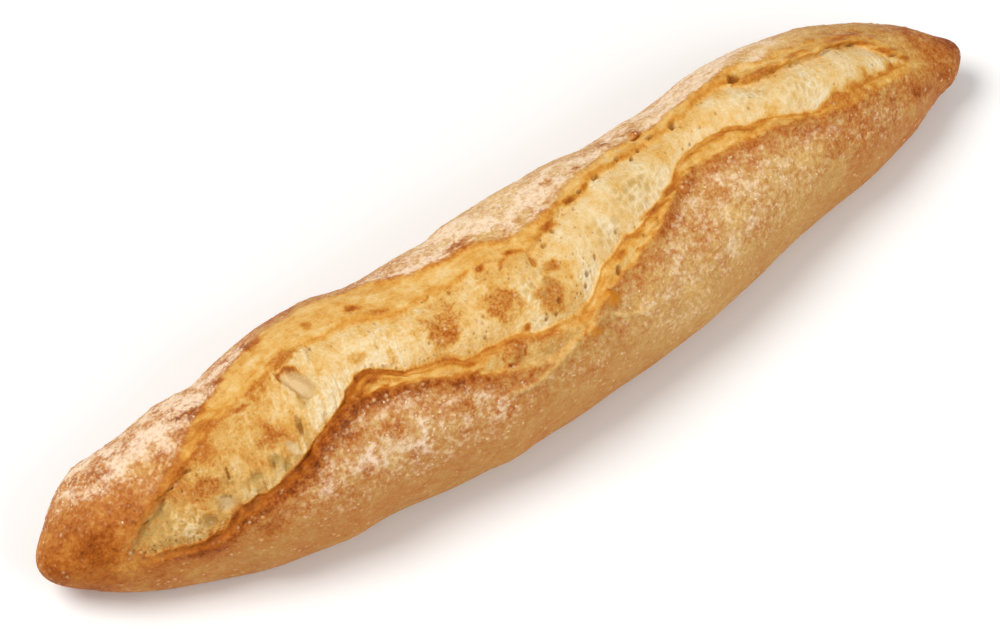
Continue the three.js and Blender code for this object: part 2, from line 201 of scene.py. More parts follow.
# station; crumb's depth under the front and back lip; height of those lips; depth of the groove
# before the front lip; how far the back lip leans over; height of the torn skin on either side;
# breadth of the step down from the back lip
CUT = [
    (0.066, 0.9, 0.8, 0.2, 0.4, 0.2, 0.2, 0, 0, 2),
    (0.12, 1, 1.2, 0.6, 0.7, 0.6, 0.4, 0, 0, 2.2),
    (0.16, 1, 0.9, 0.8, 0.5, 1, 0.2, 0.3, 0.3, 4),
    (0.24, 0.8, 0.5, 1, 0.3, 1.3, 0, 0.8, 0, 7),
    (0.31, 0.9, 0.4, 1.2, 0.3, 1.3, 0, 1.1, 0, 8),
    (0.4, 1.3, 0.7, 1.2, 0.5, 0.9, 0.1, 0.9, 0.7, 5),
    (0.5, 1.4, 1.2, 1, 0.8, 0.7, 0.3, 0.8, 0.8, 3),
    (0.6, 1.2, 0.9, 1.1, 0.8, 0.7, 0.1, 0.9, 0.7, 2.4),
    (0.7, 1.1, 0.9, 1.1, 0.8, 0.7, 0.1, 0.9, 0.7, 2.4),
    (0.78, 1, 1.4, 0.9, 1.2, 0.5, 0.5, 0.7, 0.9, 2),
    (0.87, 0.5, 2, 0.4, 1.7, 0.2, 1, 0.3, 0.6, 2),
    (0.935, 0.4, 1, 0.2, 0.7, 0, 0.3, 0, 0, 2),
]
# height, breadth, and the crest as rows of station and bearing
WRINKLES = [
    (0.9, 0.7, [(0.41, 145), (0.444, 147), (0.47, 142.5), (0.5, 137.5)]),
    (1.0, 0.6, [(0.5, 139), (0.523, 134.4), (0.548, 142), (0.575, 150)]),
    (0.6, 1.4, [(0.15, 152), (0.18, 146), (0.22, 141)]),
]

# %% [markdown]
# ## A dense net over the loaf
# The relief needs points about half a millimetre apart in the opening, and fewer elsewhere. So the
# net has evenly spaced rings, and on each ring its columns are shared out between the lines just
# drawn: many between the two edges of the crumb, few under the base.

# %% The net
RINGS = 960
NOSE = np.array([0.0006, 0.002, 0.0042, 0.007, 0.0105, 0.0145, 0.0185])
BODY_START = 0.0225
station = np.concatenate([NOSE, np.linspace(BODY_START, 1 - BODY_START, RINGS), 1 - NOSE[::-1]])
station = station[:, None]

MARGIN = 3.0  # millimetres of dense net outside the torn skin
_, _, crown_degree = skin_frame(station, np.full_like(station, 90.0))
margin = MARGIN / np.maximum(crown_degree, 0.12)
skins = [LINES["back skin"](station), LINES["front skin"](station)]
edges = [LINES["back edge"](station), LINES["front edge"](station)]
corners = [-90.0, -38.0, skins[0] - margin, skins[0], *edges, skins[1], skins[1] + margin]
corners += [218.0, 270.0]
corners = np.concatenate([corner + 0 * station for corner in corners], axis=1)
SHARES = [4, 62, 10, 16, 110, 16, 10, 70, 4]  # columns between one corner and the next
gaps = np.diff(corners, axis=1)
shared = [corners[:, [i]] + gaps[:, [i]] * np.arange(n) / n for i, n in enumerate(SHARES)]
bearing = np.concatenate(shared, axis=1)
rings, columns = bearing.shape

plain = plain_loaf(station, bearing)
out, around, per_degree = skin_frame(station, bearing)
along = np.broadcast_to(station * LENGTH, bearing.shape)
steps = np.linalg.norm(np.diff(plain, axis=1), axis=-1)
across = np.concatenate([np.zeros((rings, 1)), np.cumsum(steps, axis=1)], axis=1)
girth = across[:, -1:] + np.linalg.norm(plain[:, [0]] - plain[:, [-1]], axis=-1)
round_share = across / girth  # 0 to 1 round the loaf, from the middle of the base
crown = np.array([np.interp(90, bearing[r], across[r]) for r in range(rings)])
across = across - crown[:, None]  # millimetres from the crown, positive to the front
print("net:", rings, "rings of", columns, "points")

# %% [markdown]
# Torn edges are never clean. Each line gets a wobble of its own before any relief is set against
# it: a slow one of about half a millimetre, and a fine one where flakes of crust stand out.

# %% Distances and noise
def from_line(line):
    """Millimetres from one of the lines, measured square to it, positive to the front."""
    at = line(station)
    _, _, degree = skin_frame(station, at)
    slant = (line(station + 0.004) - line(station - 0.004)) / 0.008 * degree / LENGTH
    return (bearing - at) * degree / np.hypot(1, slant)


def grain(u, v, size_u, size_v, seed):
    """Smooth random numbers from -1 to 1, in patches size_u by size_v millimetres."""
    table = np.random.default_rng(seed).uniform(-1, 1, (256, 256))
    a, b = np.broadcast_arrays(u / size_u, v / size_v)
    i, j = np.floor(a).astype(int), np.floor(b).astype(int)
    p, q = smooth(a - i), smooth(b - j)
    i, j = i % 256, j % 256
    i2, j2 = (i + 1) % 256, (j + 1) % 256
    low = table[i, j] * (1 - p) + table[i2, j] * p
    high = table[i, j2] * (1 - p) + table[i2, j2] * p
    return low * (1 - q) + high * q


def mottle(*layers, u=along, v=across):
    """The sum of layers of noise, each a height, a size along, a size across and a seed."""
    return sum(height * grain(u, v, *size, seed) for height, *size, seed in layers)


def mottled_share(mean, *layers):
    """A share from 0 to 1, uneven round its mean."""
    return np.clip(mean + mottle(*layers), 0, 1)


# %% Torn edges
def at_rings(rows):
    """Each further column of a table as a smooth curve, read at every ring."""
    return [curve(rows, i)(station) for i in range(1, len(rows[0]))]


def faded(start, end, fade):
    """1 from one station to another, fading to 0 at both."""
    return smooth((station - start) / fade) * smooth((end - station) / fade)


level = 0 * along
edge_front = mottle((0.5, 6, 1, 11), (0.3, 2.1, 1, 12), v=level) - from_line(LINES["front edge"])
edge_back = mottle((0.8, 5, 1, 13), (0.4, 1.9, 1, 14), v=level) + from_line(LINES["back edge"])
torn_front = mottle((0.6, 7, 1, 15), (0.3, 2.2, 1, 16), v=level) + from_line(LINES["front skin"])
torn_back = mottle((1.0, 6, 1, 17), (0.5, 2.3, 1, 18), v=level) - from_line(LINES["back skin"])

opened = faded(*OPENING, OPENING_FADE)
depth_f, depth_b, lip_f, lip_b, groove_f, lean_b, skin_f, skin_b, step_b = at_rings(CUT)
ragged = 1 + mottle((0.35, 5, 1, 19), (0.2, 1.8, 1, 20), v=level)
show("half breadth of the crumb, in mm", np.minimum(edge_front, edge_back).max(1))

# %% [markdown]
# Along each edge the skin curls up into a lip, and the crumb lies a millimetre or two under it. In
# front a groove lies between the two, and at the back the lip leans over the crumb. Bells beside
# the lines do all of this, so lips and crumb stay one closed skin.

# %% Lips, crumb floor and folds
def skew_bell(v, below, above):
    """A bell that falls faster on one side than on the other."""
    return bell(v / np.where(v < 0, below, above))


FRONT_STEP, BACK_STEP_SHARE = 1.2, 0.75  # the steps down: a breadth, and a share of the table's
FRONT_DEPTH_REACH, BACK_DEPTH_REACH = 4.2, 2.4  # over which the crumb rises from each edge
CRUMB_CROWN, CRUMB_CROWN_REACH = 1.2, 8  # how far it swells in the middle of the opening
GROOVE_OFFSET, GROOVE_WIDTH = 0.7, 0.7
FRONT_LIP_OFFSET, BACK_LIP_OFFSET = 2.3, 1  # from each edge out to its lip's crest
FRONT_LIP, BACK_LIP, FOLD = (0.8, 2), (0.9, 2), (0.5, 2.6)  # inner and outer half breadths
inside = smooth(edge_front / FRONT_STEP) * smooth(edge_back / (BACK_STEP_SHARE * step_b)) * opened
in_front, in_back = np.maximum(edge_front, 0), np.maximum(edge_back, 0)
floor = CRUMB_CROWN * smooth(np.minimum(edge_front, edge_back) / CRUMB_CROWN_REACH)
floor -= depth_f * np.exp(-in_front / FRONT_DEPTH_REACH)
floor -= depth_b * np.exp(-in_back / BACK_DEPTH_REACH)
crest_f = ragged * skew_bell(-edge_front - FRONT_LIP_OFFSET, *FRONT_LIP) * opened
crest_b = ragged * skew_bell(-edge_back - BACK_LIP_OFFSET, *BACK_LIP) * opened
fold_f = ragged * skew_bell(torn_front, *FOLD) * opened
fold_b = ragged * skew_bell(torn_back, *FOLD) * opened
relief = inside * floor + lip_f * crest_f + lip_b * crest_b + skin_f * fold_f + skin_b * fold_b
to_groove = edge_front + GROOVE_OFFSET + mottle((0.35, 2.6, 1.2, 23))
relief -= groove_f * ragged * bell(to_groove / GROOVE_WIDTH) * opened
sideways = lean_b * crest_b
# the crumb tucks in under the lip
sideways -= 1.4 * lean_b * bell((edge_back - 1.1) / 0.8) * opened
WRINKLE_FADE = 0.015
wrinkled = 0 * along
for height, breadth, rows in WRINKLES:
    there = faded(rows[0][0], rows[-1][0], WRINKLE_FADE)
    wrinkled += height * there * bell(from_line(curve(rows)) / breadth)
relief += wrinkled
show("lips and crumb floor, in mm", relief)

# %% [markdown]
# A torn lip is a stack of thin dried layers. Noise that is long along the edge and short across
# it gives such layers, and it is kept to a few millimetres beside each edge.

# %% Layers in the lips
# station; how flaky the lips are
FLAKY = [(0.07, 0.6), (0.16, 1), (0.3, 1), (0.36, 0.4), (0.5, 0.2), (0.7, 0.3)]
FLAKY += [(0.8, 1.2), (0.93, 1)]
(flaky,) = at_rings(FLAKY)
creases = 0 * along
# edge, height of its lip, how far the layers reach, how high they stand, their noise's sizes
# along and across, and its seed
for edge, lip, reach, height, *sizes, seed in (
    (edge_front, lip_f, 2.4, 0.34, 9, 1.05, 21),
    (edge_back, lip_b, 2.6, 0.30, 8, 1.15, 22),
):
    beside = smooth(0.5 - edge) * bell((edge + 2) / reach) * opened * lip
    layers = np.abs(grain(along + 1.5 * edge, edge, *sizes, seed))
    relief += height * flaky * beside * layers
    creases += smooth(0.3 - layers) * beside
show("with layers, in mm", relief)

# %% [markdown]
# ## Swellings and hollows
# Big bubbles under the skin, the hand that rolled the dough and the neighbours in the oven leave
# a loaf uneven. Each swelling is a soft bell at a named place.

# %% Swellings
# station, bearing, reach along, reach across, height
LUMPS = [
    (0.36, 92, 14, 9, 0.9), (0.86, 95, 22, 8, 1.3), (0.54, 130, 5, 4, 0.7),
    (0.513, 142, 4, 3.5, 0.7), (0.072, 22, 5, 14, 0.7), (0.122, 24, 8, 14, -1.1),
    (0.156, 24, 6, 14, 0.8), (0.197, 24, 5, 14, -0.8), (0.25, 24, 14, 14, -0.5),
    (0.325, 26, 7, 14, 0.8), (0.443, 24, 4, 14, -1), (0.575, 24, 7, 14, 0.7),
    (0.622, 24, 9, 14, -0.8), (0.043, 209, 6, 14, -0.6), (0.12, 206, 8, 14, 0.5),
    (0.151, 206, 6, 14, -1.5), (0.222, 204, 12, 14, 0.7), (0.253, 204, 6, 14, 0.6),
    (0.294, 204, 6, 14, -0.8), (0.35, 204, 12, 14, -0.9), (0.411, 204, 7, 14, 1.8),
    (0.529, 202, 7, 14, -0.7), (0.635, 202, 8, 14, 0.7), (0.802, 201, 5, 14, -0.9),
    (0.848, 201, 6, 14, 0.6), (0.887, 200, 4, 14, -0.7), (0.918, 199, 4, 14, 0.9),
]
# height, wavelength along, turns round, phase along, phase round
WAVES = [(0.3, 71, 2, 0.6, 1.1), (0.22, 39, 5, 2.1, 0.3), (0.18, 23, 7, 4.4, 2.2)]

CALM_HEIGHT, CALM_RISE = 3, 11  # millimetres over the floor that stay even, and the rise to full
CALM_TIP = 0.05  # share of the length at each tip over which the relief grows
to_end = np.minimum(station, 1 - station)
calm = smooth(to_end / CALM_TIP) * smooth((plain[..., 2] - CALM_HEIGHT) / CALM_RISE)
uneven = 0 * along
for s, b, length, breadth, height in LUMPS:
    _, _, degree = skin_frame(np.array([[s]]), np.array([[float(b)]]))
    aside = (bearing - b) * degree / breadth
    uneven += height * bell(1.25 * np.hypot((station - s) * LENGTH / length, aside))
for height, wavelength, turns, phase, phase_round in WAVES:
    lengthwise = np.sin(2 * np.pi * along / wavelength + phase)
    uneven += height * lengthwise * np.cos(np.radians(turns * bearing) + phase_round)
relief += calm * uneven
show("swellings, in mm", calm * uneven)

# %% [markdown]
# ## Crumb
# Bare crumb is a foam that was pulled apart across the slash: its bubbles are stretched from lip to
# lip, and where it tore last, beside the front lip, strands a millimetre thick are left. Bubbles
# come from a foam of cells, strands from stretched noise, and a mask says which of them shows.

# %% Strands and bubbles of the crumb
def foam_walls(u, v, size, seed):
    """A foam of bubbles of this size: 0 in a bubble, rising to 1 on the walls between bubbles."""
    centres = np.random.default_rng(seed).uniform(0, 1, (2, 256, 256))
    a, b = np.broadcast_arrays(u / size, v / size)
    i, j = np.floor(a).astype(int), np.floor(b).astype(int)
    nearest = second = np.full(a.shape, 9.0)
    for di, dj in np.ndindex(3, 3):
        p, q = centres[:, (i + di - 1) % 256, (j + dj - 1) % 256]
        gap = np.hypot(i + di - 1 + p - a, j + dj - 1 + q - b)
        second = np.minimum(second, np.maximum(nearest, gap))
        nearest = np.minimum(nearest, gap)
    return smooth(1 - 1.8 * (second - nearest))


STRAND_TILT = math.tan(math.radians(-12))  # strands lean a little along the loaf
# station; how rough the crumb is, and how stringy; how far its front edge fades into the crust
CRUMB = [
    (0.07, 1.7, 0.4, 0.8),
    (0.12, 1.6, 0.6, 0.8),
    (0.15, 0.9, 0.8, 0.8),
    (0.24, 0.6, 1.1, 0.8),
    (0.32, 0.8, 0.9, 0.8),
    (0.44, 0.6, 0.5, 0.8),
    (0.52, 0.5, 0.4, 0.8),
    (0.6, 0.3, 0.25, 0.8),
    (0.78, 0.4, 0.2, 0.8),
    (0.83, 0.55, 0.2, 4),
    (0.88, 0.6, 0.2, 5.5),
    (0.92, 0.4, 0.2, 3),
]
rough, pulled, fade_front = at_rings(CRUMB)
strand_u = along - STRAND_TILT * across
grown_over = (fade_front - 0.8) * mottle((0.5, 1.8, 1.8, 29))
crumb = smooth((edge_front + grown_over) / fade_front)
crumb = crumb * smooth((edge_back + 0.9) / (0.5 * step_b)) * opened
filmed = smooth(0.5 + mottle((1.5, 7, 9, 30)))  # 1 where a smooth skin covers the crumb
rough = rough * (1 - 0.65 * filmed)
stringy = pulled * (0.9 - 0.6 * filmed + np.exp(-in_front / 3.5))
strands = mottle((0.5, 1.15, 7, 31), (0.35, 0.7, 3.5, 32), (0.2, 3.2, 7, 33), u=strand_u)
wander = mottle((0.8, 2.5, 2.5, 34))
bubbles = foam_walls(strand_u + wander, 0.6 * across + wander, 2.1, 35)
bubbles += 0.5 * foam_walls(strand_u - wander, 0.7 * across, 1.15, 36)
STRAND_HEIGHT, BUBBLE_HEIGHT = 0.5, 0.34
crumb_relief = STRAND_HEIGHT * stringy * strands + BUBBLE_HEIGHT * rough * (bubbles - 0.5)
crumb_relief *= crumb
relief += crumb_relief + crumb * mottle((0.25, 7, 9, 37))
# where the opening is widest, the last strands stand apart like a comb; the gaps between them take
# the film's colour, as painted shade
combed = bell((station - 0.205) / 0.028) * smooth(1.6 - in_front / 4) * crumb
comb = smooth(0.5 + mottle((2.2, 1.1, 5, 38), u=strand_u))
relief += combed * (0.8 * comb - 0.6)
film_and_shade = 0.9 * combed * (1 - comb)
show("relief of the crumb, in mm", crumb_relief)

# %% [markdown]
# A few bubbles were large enough to leave a smooth pale pocket when they burst. Each is a bowl
# with a rim, and the strands are taken out of it again. On a deep pocket the half of the rim
# nearer the back is darkened, as painted shade. In others a thin film of dried starch is left,
# which looks greyer than the crumb round it.

# %% Pockets of burst bubbles
def where(s, b):
    """The millimetres along and across at which a station and bearing lie."""
    ring = int(np.argmin(np.abs(station[:, 0] - s)))
    return s * LENGTH, np.interp(b, bearing[ring], across[ring])


def spot(s, b, length, breadth, turn=0.0):
    """Distance from a place in units of a turned ellipse: under 1 is inside it."""
    u0, v0 = where(s, b)
    du, dv = along - u0, across - v0
    c, t = math.cos(math.radians(turn)), math.sin(math.radians(turn))
    return np.hypot((c * du + t * dv) / length, (c * dv - t * du) / breadth)


# station, bearing, half length along, half breadth across, turn, depth, paleness, film
POCKETS = [
    (0.2605, 90.7, 3.1, 7.2, -18, 3, 1, 0),
    (0.2565, 98.5, 3.2, 3, -18, 0.4, 0, 0.5),
    (0.098, 122, 9.5, 3.8, -30, 0.6, 0, 0.85),
    (0.078, 134, 4.5, 2.4, -30, 0.4, 0, 0.85),
    (0.137, 136.6, 3.1, 2.9, 0, 1.2, 0.1, 0.9),
    (0.1569, 127, 2.6, 2.7, 0, 0.8, 0.8, 0.2),
    (0.1878, 120.5, 2.5, 2.3, -14, 0.9, 0, 1),
    (0.2107, 120.1, 2.1, 4.6, -14, 1, 0, 0.9),
    (0.2276, 116, 1.6, 3.2, -14, 0.3, 0.7, 0),
]
pocket, rim_shade = 0 * along, 0 * along
for i, (s, b, length, breadth, turn, depth, pale, grey) in enumerate(POCKETS):
    r = spot(s, b, length, breadth, turn) + mottle((0.14, 2.2, 2.2, 40 + i))
    bowl = 1 - smooth((r - 0.4) / 0.7)
    relief -= depth * bowl
    relief += 0.12 * depth * bell((r - 1.15) / 0.14)
    pocket = np.maximum(pocket, pale * bowl)
    film_and_shade = np.maximum(film_and_shade, grey * bowl)
    # the half of a deep pocket's rim nearer the back is darkened: painted shade under the rim
    behind = smooth((where(s, b)[1] + 0.2 * breadth - across) / breadth)
    rim_shade = np.maximum(rim_shade, behind * bell((r - 1.0) / 0.12) * smooth((depth - 0.4) / 2))
relief -= crumb_relief * np.maximum(pocket, 0.6 * film_and_shade) ** 2
film_and_shade *= mottled_share(0.8, (0.6, 1.1, 1.1, 39))
print("pockets of burst bubbles:", len(POCKETS))

# %% Windows of film
# station, bearing, reach along, reach across, film: clusters of small bubbles closed by films
WINDOWS = [
    (0.616, 90, 8, 4.5, 0.8),
    (0.57, 97.5, 5, 3.5, 0.6),
    (0.487, 104, 4.5, 4.5, 0.7),
    (0.17, 117, 12, 6, 0.35),
    (0.1032, 128, 7, 4.5, 0.8),
    (0.124, 132, 5, 4, 0.5),
    (0.809, 96, 5.5, 4, 0.42),
    (0.77, 85, 5, 4, 0.35),
    (0.86, 94, 6, 4, 0.2),
]
windows = 1 - foam_walls(strand_u + wander, 0.7 * across, 2.4, 37)
web = 0 * along
for s, b, length, breadth, grey in WINDOWS:
    cluster = grey * bell(1.1 * spot(s, b, length, breadth, -14))
    film_and_shade = np.maximum(film_and_shade, windows * cluster)
    web = np.maximum(web, (1 - windows) * cluster)
print("clusters of bubbles closed by films:", len(WINDOWS))

# %% [markdown]
# The finest bubbles are pores of half a millimetre. Each hole is sunk into the relief, and its
# colour is darkened as painted shade. The dark holes that catch the eye have named places, and the
# rest are drawn at random, in rows beside the lips and over the whole crumb.

# %% Small holes
rng = np.random.default_rng(7)
# station, bearing, radius along the loaf, stretch across it, darkness of the painted shade in it:
# the holes that stand out
HOLES = [
    (0.1699, 110.7, 0.55, 3.8, 1), (0.2416, 108.5, 0.95, 3.2, 0.85), (0.2068, 118, 0.4, 5, 0.45),
    (0.2874, 77.3, 0.5, 2, 0.7), (0.1271, 92.6, 1, 0.45, 0.7), (0.142, 99.4, 1.1, 0.5, 0.9),
    (0.141, 95.6, 0.9, 0.5, 0.6), (0.1121, 106.5, 1.6, 0.4, 0.6), (0.0922, 118.8, 1.2, 0.45, 0.5),
    (0.1231, 105.2, 1.2, 0.5, 0.5), (0.376, 100.2, 0.5, 1.2, 0.7), (0.4298, 102.8, 0.5, 1.6, 0.6),
    (0.4218, 111.6, 0.5, 1.4, 0.6), (0.4149, 107.1, 0.4, 1.2, 0.6), (0.4188, 83.9, 0.5, 1.5, 0.6),
    (0.4009, 79.9, 0.5, 1.6, 0.6), (0.5134, 89.3, 0.8, 1.3, 0.65), (0.5284, 86, 0.7, 1.3, 0.65),
    (0.5612, 76.5, 1.3, 0.5, 0.8), (0.5732, 74.5, 1.2, 0.6, 0.8), (0.5951, 72, 1.4, 0.5, 0.7),
    (0.624, 67.7, 0.9, 0.9, 0.8), (0.6359, 72, 0.8, 1.2, 0.7), (0.6459, 69.5, 0.9, 0.9, 0.7),
    (0.6628, 66.4, 1.3, 0.9, 0.75), (0.6887, 68, 1.3, 1, 0.85), (0.7654, 68.5, 2, 1, 0.85),
    (0.8032, 80, 0.9, 0.5, 0.5), (0.867, 79, 2.4, 0.3, 0.8), (0.8899, 82.5, 2, 0.3, 0.7),
    (0.9187, 102, 1.6, 0.4, 0.8), (0.5314, 111.8, 0.8, 1.3, 0.65), (0.5463, 106.6, 0.6, 1.6, 0.6),
    (0.5244, 117, 0.7, 1.4, 0.65), (0.4955, 115.9, 0.8, 1.1, 0.65),
    (0.4876, 121.2, 0.7, 1.1, 0.65), (0.4776, 120.5, 0.6, 1.3, 0.7),
    (0.5772, 101.6, 0.6, 1.2, 0.5), (0.5971, 110.9, 0.6, 1.4, 0.7), (0.5583, 119, 1.2, 1.1, 0.6),
    (0.7275, 81.1, 0.5, 1.4, 0.5), (0.7564, 90.3, 0.5, 1.2, 0.5), (0.6897, 84.6, 0.5, 1.2, 0.5),
    (0.8421, 103.8, 0.4, 1.2, 0.6), (0.9028, 65.4, 0.6, 1, 0.6),
]
# rows of fine pores: how many, from and to station, and the share of the way across the crumb
PORE_ROWS = [
    (26, 0.12, 0.17, 0, 0.18),
    (16, 0.07, 0.11, 0.3, 0.9),
    (30, 0.4, 0.48, 0.04, 0.9),
    (34, 0.48, 0.56, 0.05, 0.95),
    (30, 0.5, 0.57, 0, 0.16),
    (22, 0.57, 0.72, 0, 0.12),
    (22, 0.78, 0.92, 0, 0.1),
    (26, 0.3, 0.42, 0.86, 0.99),
    (90, 0.08, 0.92, 0.05, 0.95),
    (30, 0.13, 0.26, 0.05, 0.8),
    (16, 0.15, 0.36, -0.4, -0.04),
]
for count, start, end, low, high in PORE_ROWS:
    for _ in range(count):
        s = rng.uniform(start, end)
        back_b, front_b = LINES["back edge"](s), LINES["front edge"](s)
        b = back_b + rng.uniform(low, high) * (front_b - back_b)
        radius = 0.2 + 0.25 * rng.random() ** 2
        HOLES.append((s, b, radius, rng.uniform(1.0, 2.0), rng.uniform(0.25, 0.6)))
hole_shade = 0 * along
for s, b, radius, stretch, shade_amount in HOLES:
    rows = np.abs(station[:, 0] - s) * LENGTH < 3.2 * radius * max(1, stretch)
    u0, v0 = where(s, b)
    du, dv = along[rows] - u0, across[rows] - v0
    r = np.hypot((du - STRAND_TILT * dv) / radius, dv / (radius * stretch))
    r += 0.3 * grain(along[rows], across[rows], 0.9, 0.9, 90)
    hole = 1 - smooth((r - 0.4) / 0.8)
    relief[rows] -= hole * radius * 1.1 * min(1, stretch)
    hole_shade[rows] = np.maximum(hole_shade[rows], shade_amount * hole)
print("holes and pores:", len(HOLES))

# %% [markdown]
# ## Crust
# The first skin dried in the oven. It carries pimples and blisters of a millimetre or less, more
# at the ends. Under the loaf the dough took the grain of the oven floor.

# %% Pimples, blisters and the grain of the base
pimples = np.maximum(mottle((1, 1.4, 1.4, 51)), 0) ** 2
pimples += 0.6 * np.maximum(mottle((1, 0.8, 0.8, 52)), 0) ** 2
pimple_height = 0.16 + 0.14 * bell(to_end / 0.09) + 0.16 * bell(station / 0.1)
relief += (1 - crumb) * calm * (pimple_height * pimples + mottle((0.14, 3.5, 3.5, 53)))
under = smooth((2 - plain[..., 2]) / 2) * smooth(to_end / 0.06)
dimples = np.maximum(mottle((1, 4.5, 3.5, 54), (0.5, 1.6, 1.6, 55)), 0)
show("pimples, in mm", pimple_height * pimples)

# %% [markdown]
# Some bubbles kept their roof. It stands up as a small dome, and its outline is darkened: all the
# way round where it is scorched, and only on the half nearer to the back where the dark is painted
# shade under the dome's edge.

# %% Domed blisters
# station, bearing, half length, half breadth, height, browning of the outline, from where on it
# is darkened: -1 all round, as scorch; 0 only the half nearer to the back, as painted shade
BLISTERS = [
    (0.4368, 126, 3.3, 3, 1.1, 0.8, -1),
    (0.4826, 90.7, 5.2, 3.9, 1.2, 0.6, 0),
    (0.61, 108.2, 2.3, 2.2, 0.8, 0.62, 0),
    (0.6539, 56.4, 2.4, 2.2, 1.4, 0.9, -1),
    (0.624, 51.7, 3, 2.6, 0.8, 0.82, 0),
    (0.272, 79, 5, 5, 1, 0.56, 0.3),
    (0.5393, 129.9, 3.4, 2.7, 0.8, 0.62, 0),
    (0.5115, 139.2, 3, 2.3, 0.8, 0.66, -0.5),
]
outline = 0 * along
for i, (s, b, length, breadth, height, outline_darkness, start) in enumerate(BLISTERS):
    r = spot(s, b, length, breadth) + mottle((0.22, 2.4, 2.4, 60 + i))
    relief += height * (1 - smooth((r - 0.3) / 0.8)) - 0.2 * height * bell((r - 1.1) / 0.15)
    towards_back = (where(s, b)[1] - across) / (breadth * np.maximum(r, 0.2))
    # where only the back half is darkened, that dark is painted shade under the dome's edge
    scorch_and_shade_part = smooth((towards_back - start) / 0.5 + 0.5) if start > -1 else 1
    dark_ring = bell((r - 1.05) / 0.2) * mottled_share(0.8, (0.6, 1.8, 1.8, 66))
    outline = np.maximum(outline, outline_darkness * scorch_and_shade_part * dark_ring)
print("domed blisters:", len(BLISTERS))

# %% [markdown]
# ## How brown each place is
# The colours of a loaf are one process on one skin: the hotter and drier a place became, the
# further it went from cream through gold and orange-brown to dark brown. So one number, the
# browning, is kept at every point, and the material turns it to a colour. It is set band by band
# across the opening, and spot by spot where a bubble or a flake stood nearer to the heat.

# %% The bands' values
# station; browning of the front edge, front lip, front fold, back edge, back lip, back fold; the
# values of the two edges also carry painted shade, in the groove before the front lip and under the
# back lip
BANDS = [
    (0.07, 0.58, 0.52, 0.6, 0.72, 0.62, 0.62),
    (0.12, 0.78, 0.56, 0.72, 0.75, 0.6, 0.58),
    (0.16, 0.84, 0.56, 0.76, 0.66, 0.46, 0.42),
    (0.2, 0.85, 0.54, 0.78, 0.56, 0.38, 0.36),
    (0.24, 0.85, 0.52, 0.8, 0.46, 0.34, 0.36),
    (0.3, 0.84, 0.46, 0.8, 0.42, 0.34, 0.36),
    (0.34, 0.76, 0.31, 0.78, 0.42, 0.34, 0.4),
    (0.4, 0.7, 0.27, 0.72, 0.44, 0.36, 0.5),
    (0.44, 0.6, 0.32, 0.45, 0.46, 0.34, 0.6),
    (0.5, 0.54, 0.35, 0.4, 0.5, 0.32, 0.46),
    (0.56, 0.62, 0.38, 0.55, 0.62, 0.33, 0.36),
    (0.62, 0.64, 0.36, 0.62, 0.54, 0.28, 0.32),
    (0.7, 0.62, 0.33, 0.62, 0.46, 0.26, 0.32),
    (0.78, 0.6, 0.37, 0.6, 0.58, 0.27, 0.34),
    (0.86, 0.52, 0.38, 0.52, 0.64, 0.34, 0.46),
    (0.93, 0.36, 0.3, 0.42, 0.64, 0.36, 0.46),
]
edge_f, strip_f, seam_f, edge_b, strip_b, seam_b = at_rings(BANDS)
show("browning of the front edge", edge_f)

# %% The first skin
# station, bearing, reach along, reach across, browning added to the skin
SKIN_BROWN = [
    (0, 100, 24, 60, 0.22), (0.05, 95, 12, 26, 0.13), (0.105, 168, 18, 10, -0.04),
    (0.104, 88, 11, 8, -0.17), (0.19, 141, 16, 5, 0.1), (1, 100, 13, 60, 0.24),
    (0.93, 110, 16, 30, 0.03), (0.16, 58, 22, 10, 0.1), (0.6, 150, 50, 9, -0.05),
    (0.46, 138, 12, 8, 0.03), (0.5, 182, 18, 5, 0.04), (0.842, 130, 4, 16, 0.07),
    (0.7, 128, 30, 14, -0.07), (0.62, 50, 90, 12, -0.11), (0.14, 52, 20, 9, -0.06),
    (0.87, 100, 14, 14, 0.03), (0.78, 148, 8, 8, -0.06), (0.39, 172, 50, 13, 0.05),
    (0.928, 102, 5, 6, -0.16), (0.955, 98, 4, 10, 0.1), (0.82, 60, 18, 6, -0.14),
    (0.55, 179, 42, 7, -0.09), (0.605, 163, 8, 7, -0.07), (0.88, 172, 14, 9, 0.06),
]
brown = 0.42 + 0 * along
for s, b, length, breadth, amount in SKIN_BROWN:
    brown += amount * bell(1.1 * spot(s, b, length, breadth))
brown += 0.16 * np.exp(-np.maximum(torn_front, 0) / 5) * opened * smooth(seam_f / 0.5 - 0.6)
brown += 0.06 * np.exp(-np.maximum(torn_back, 0) / 4) * opened
# low on its sides the loaf baked more evenly
wall = smooth((bearing - 145) / 22) + smooth((28 - bearing) / 20)
wall = wall * (1 - 0.7 * bell(to_end / 0.07))
brown += (1 - 0.6 * wall) * mottle((0.07, 9, 7, 70), (0.06, 3.5, 3.5, 71))
show("browning of the first skin", brown)

# %% The young crust and the crumb
# station; browning of the crumb
CRUMB_BROWN = [(0.07, 0.45), (0.11, 0.45), (0.145, 0.44), (0.18, 0.40), (0.23, 0.36)]
CRUMB_BROWN += [(0.265, 0.21), (0.3, 0.11), (0.36, 0.17), (0.4, 0.22), (0.46, 0.26), (0.5, 0.22)]
CRUMB_BROWN += [(0.535, 0.17), (0.6, 0.15), (0.69, 0.19), (0.76, 0.23), (0.82, 0.12), (0.92, 0.13)]
on_front = smooth(0.5 - edge_front / 0.8) * smooth(0.5 - torn_front / 1.6) * opened
on_back = smooth(0.5 - edge_back / 1.2) * smooth(0.5 - torn_back / 2.0) * opened
patchy = mottle((0.08, 5, 4, 72), (0.05, 2, 2, 73))
brown += on_front * (strip_f + patchy - brown)
brown += on_back * (strip_b + patchy - brown)
crumb_brown = curve(CRUMB_BROWN)(station) + 0.12 * np.exp(-in_back / 2.6)
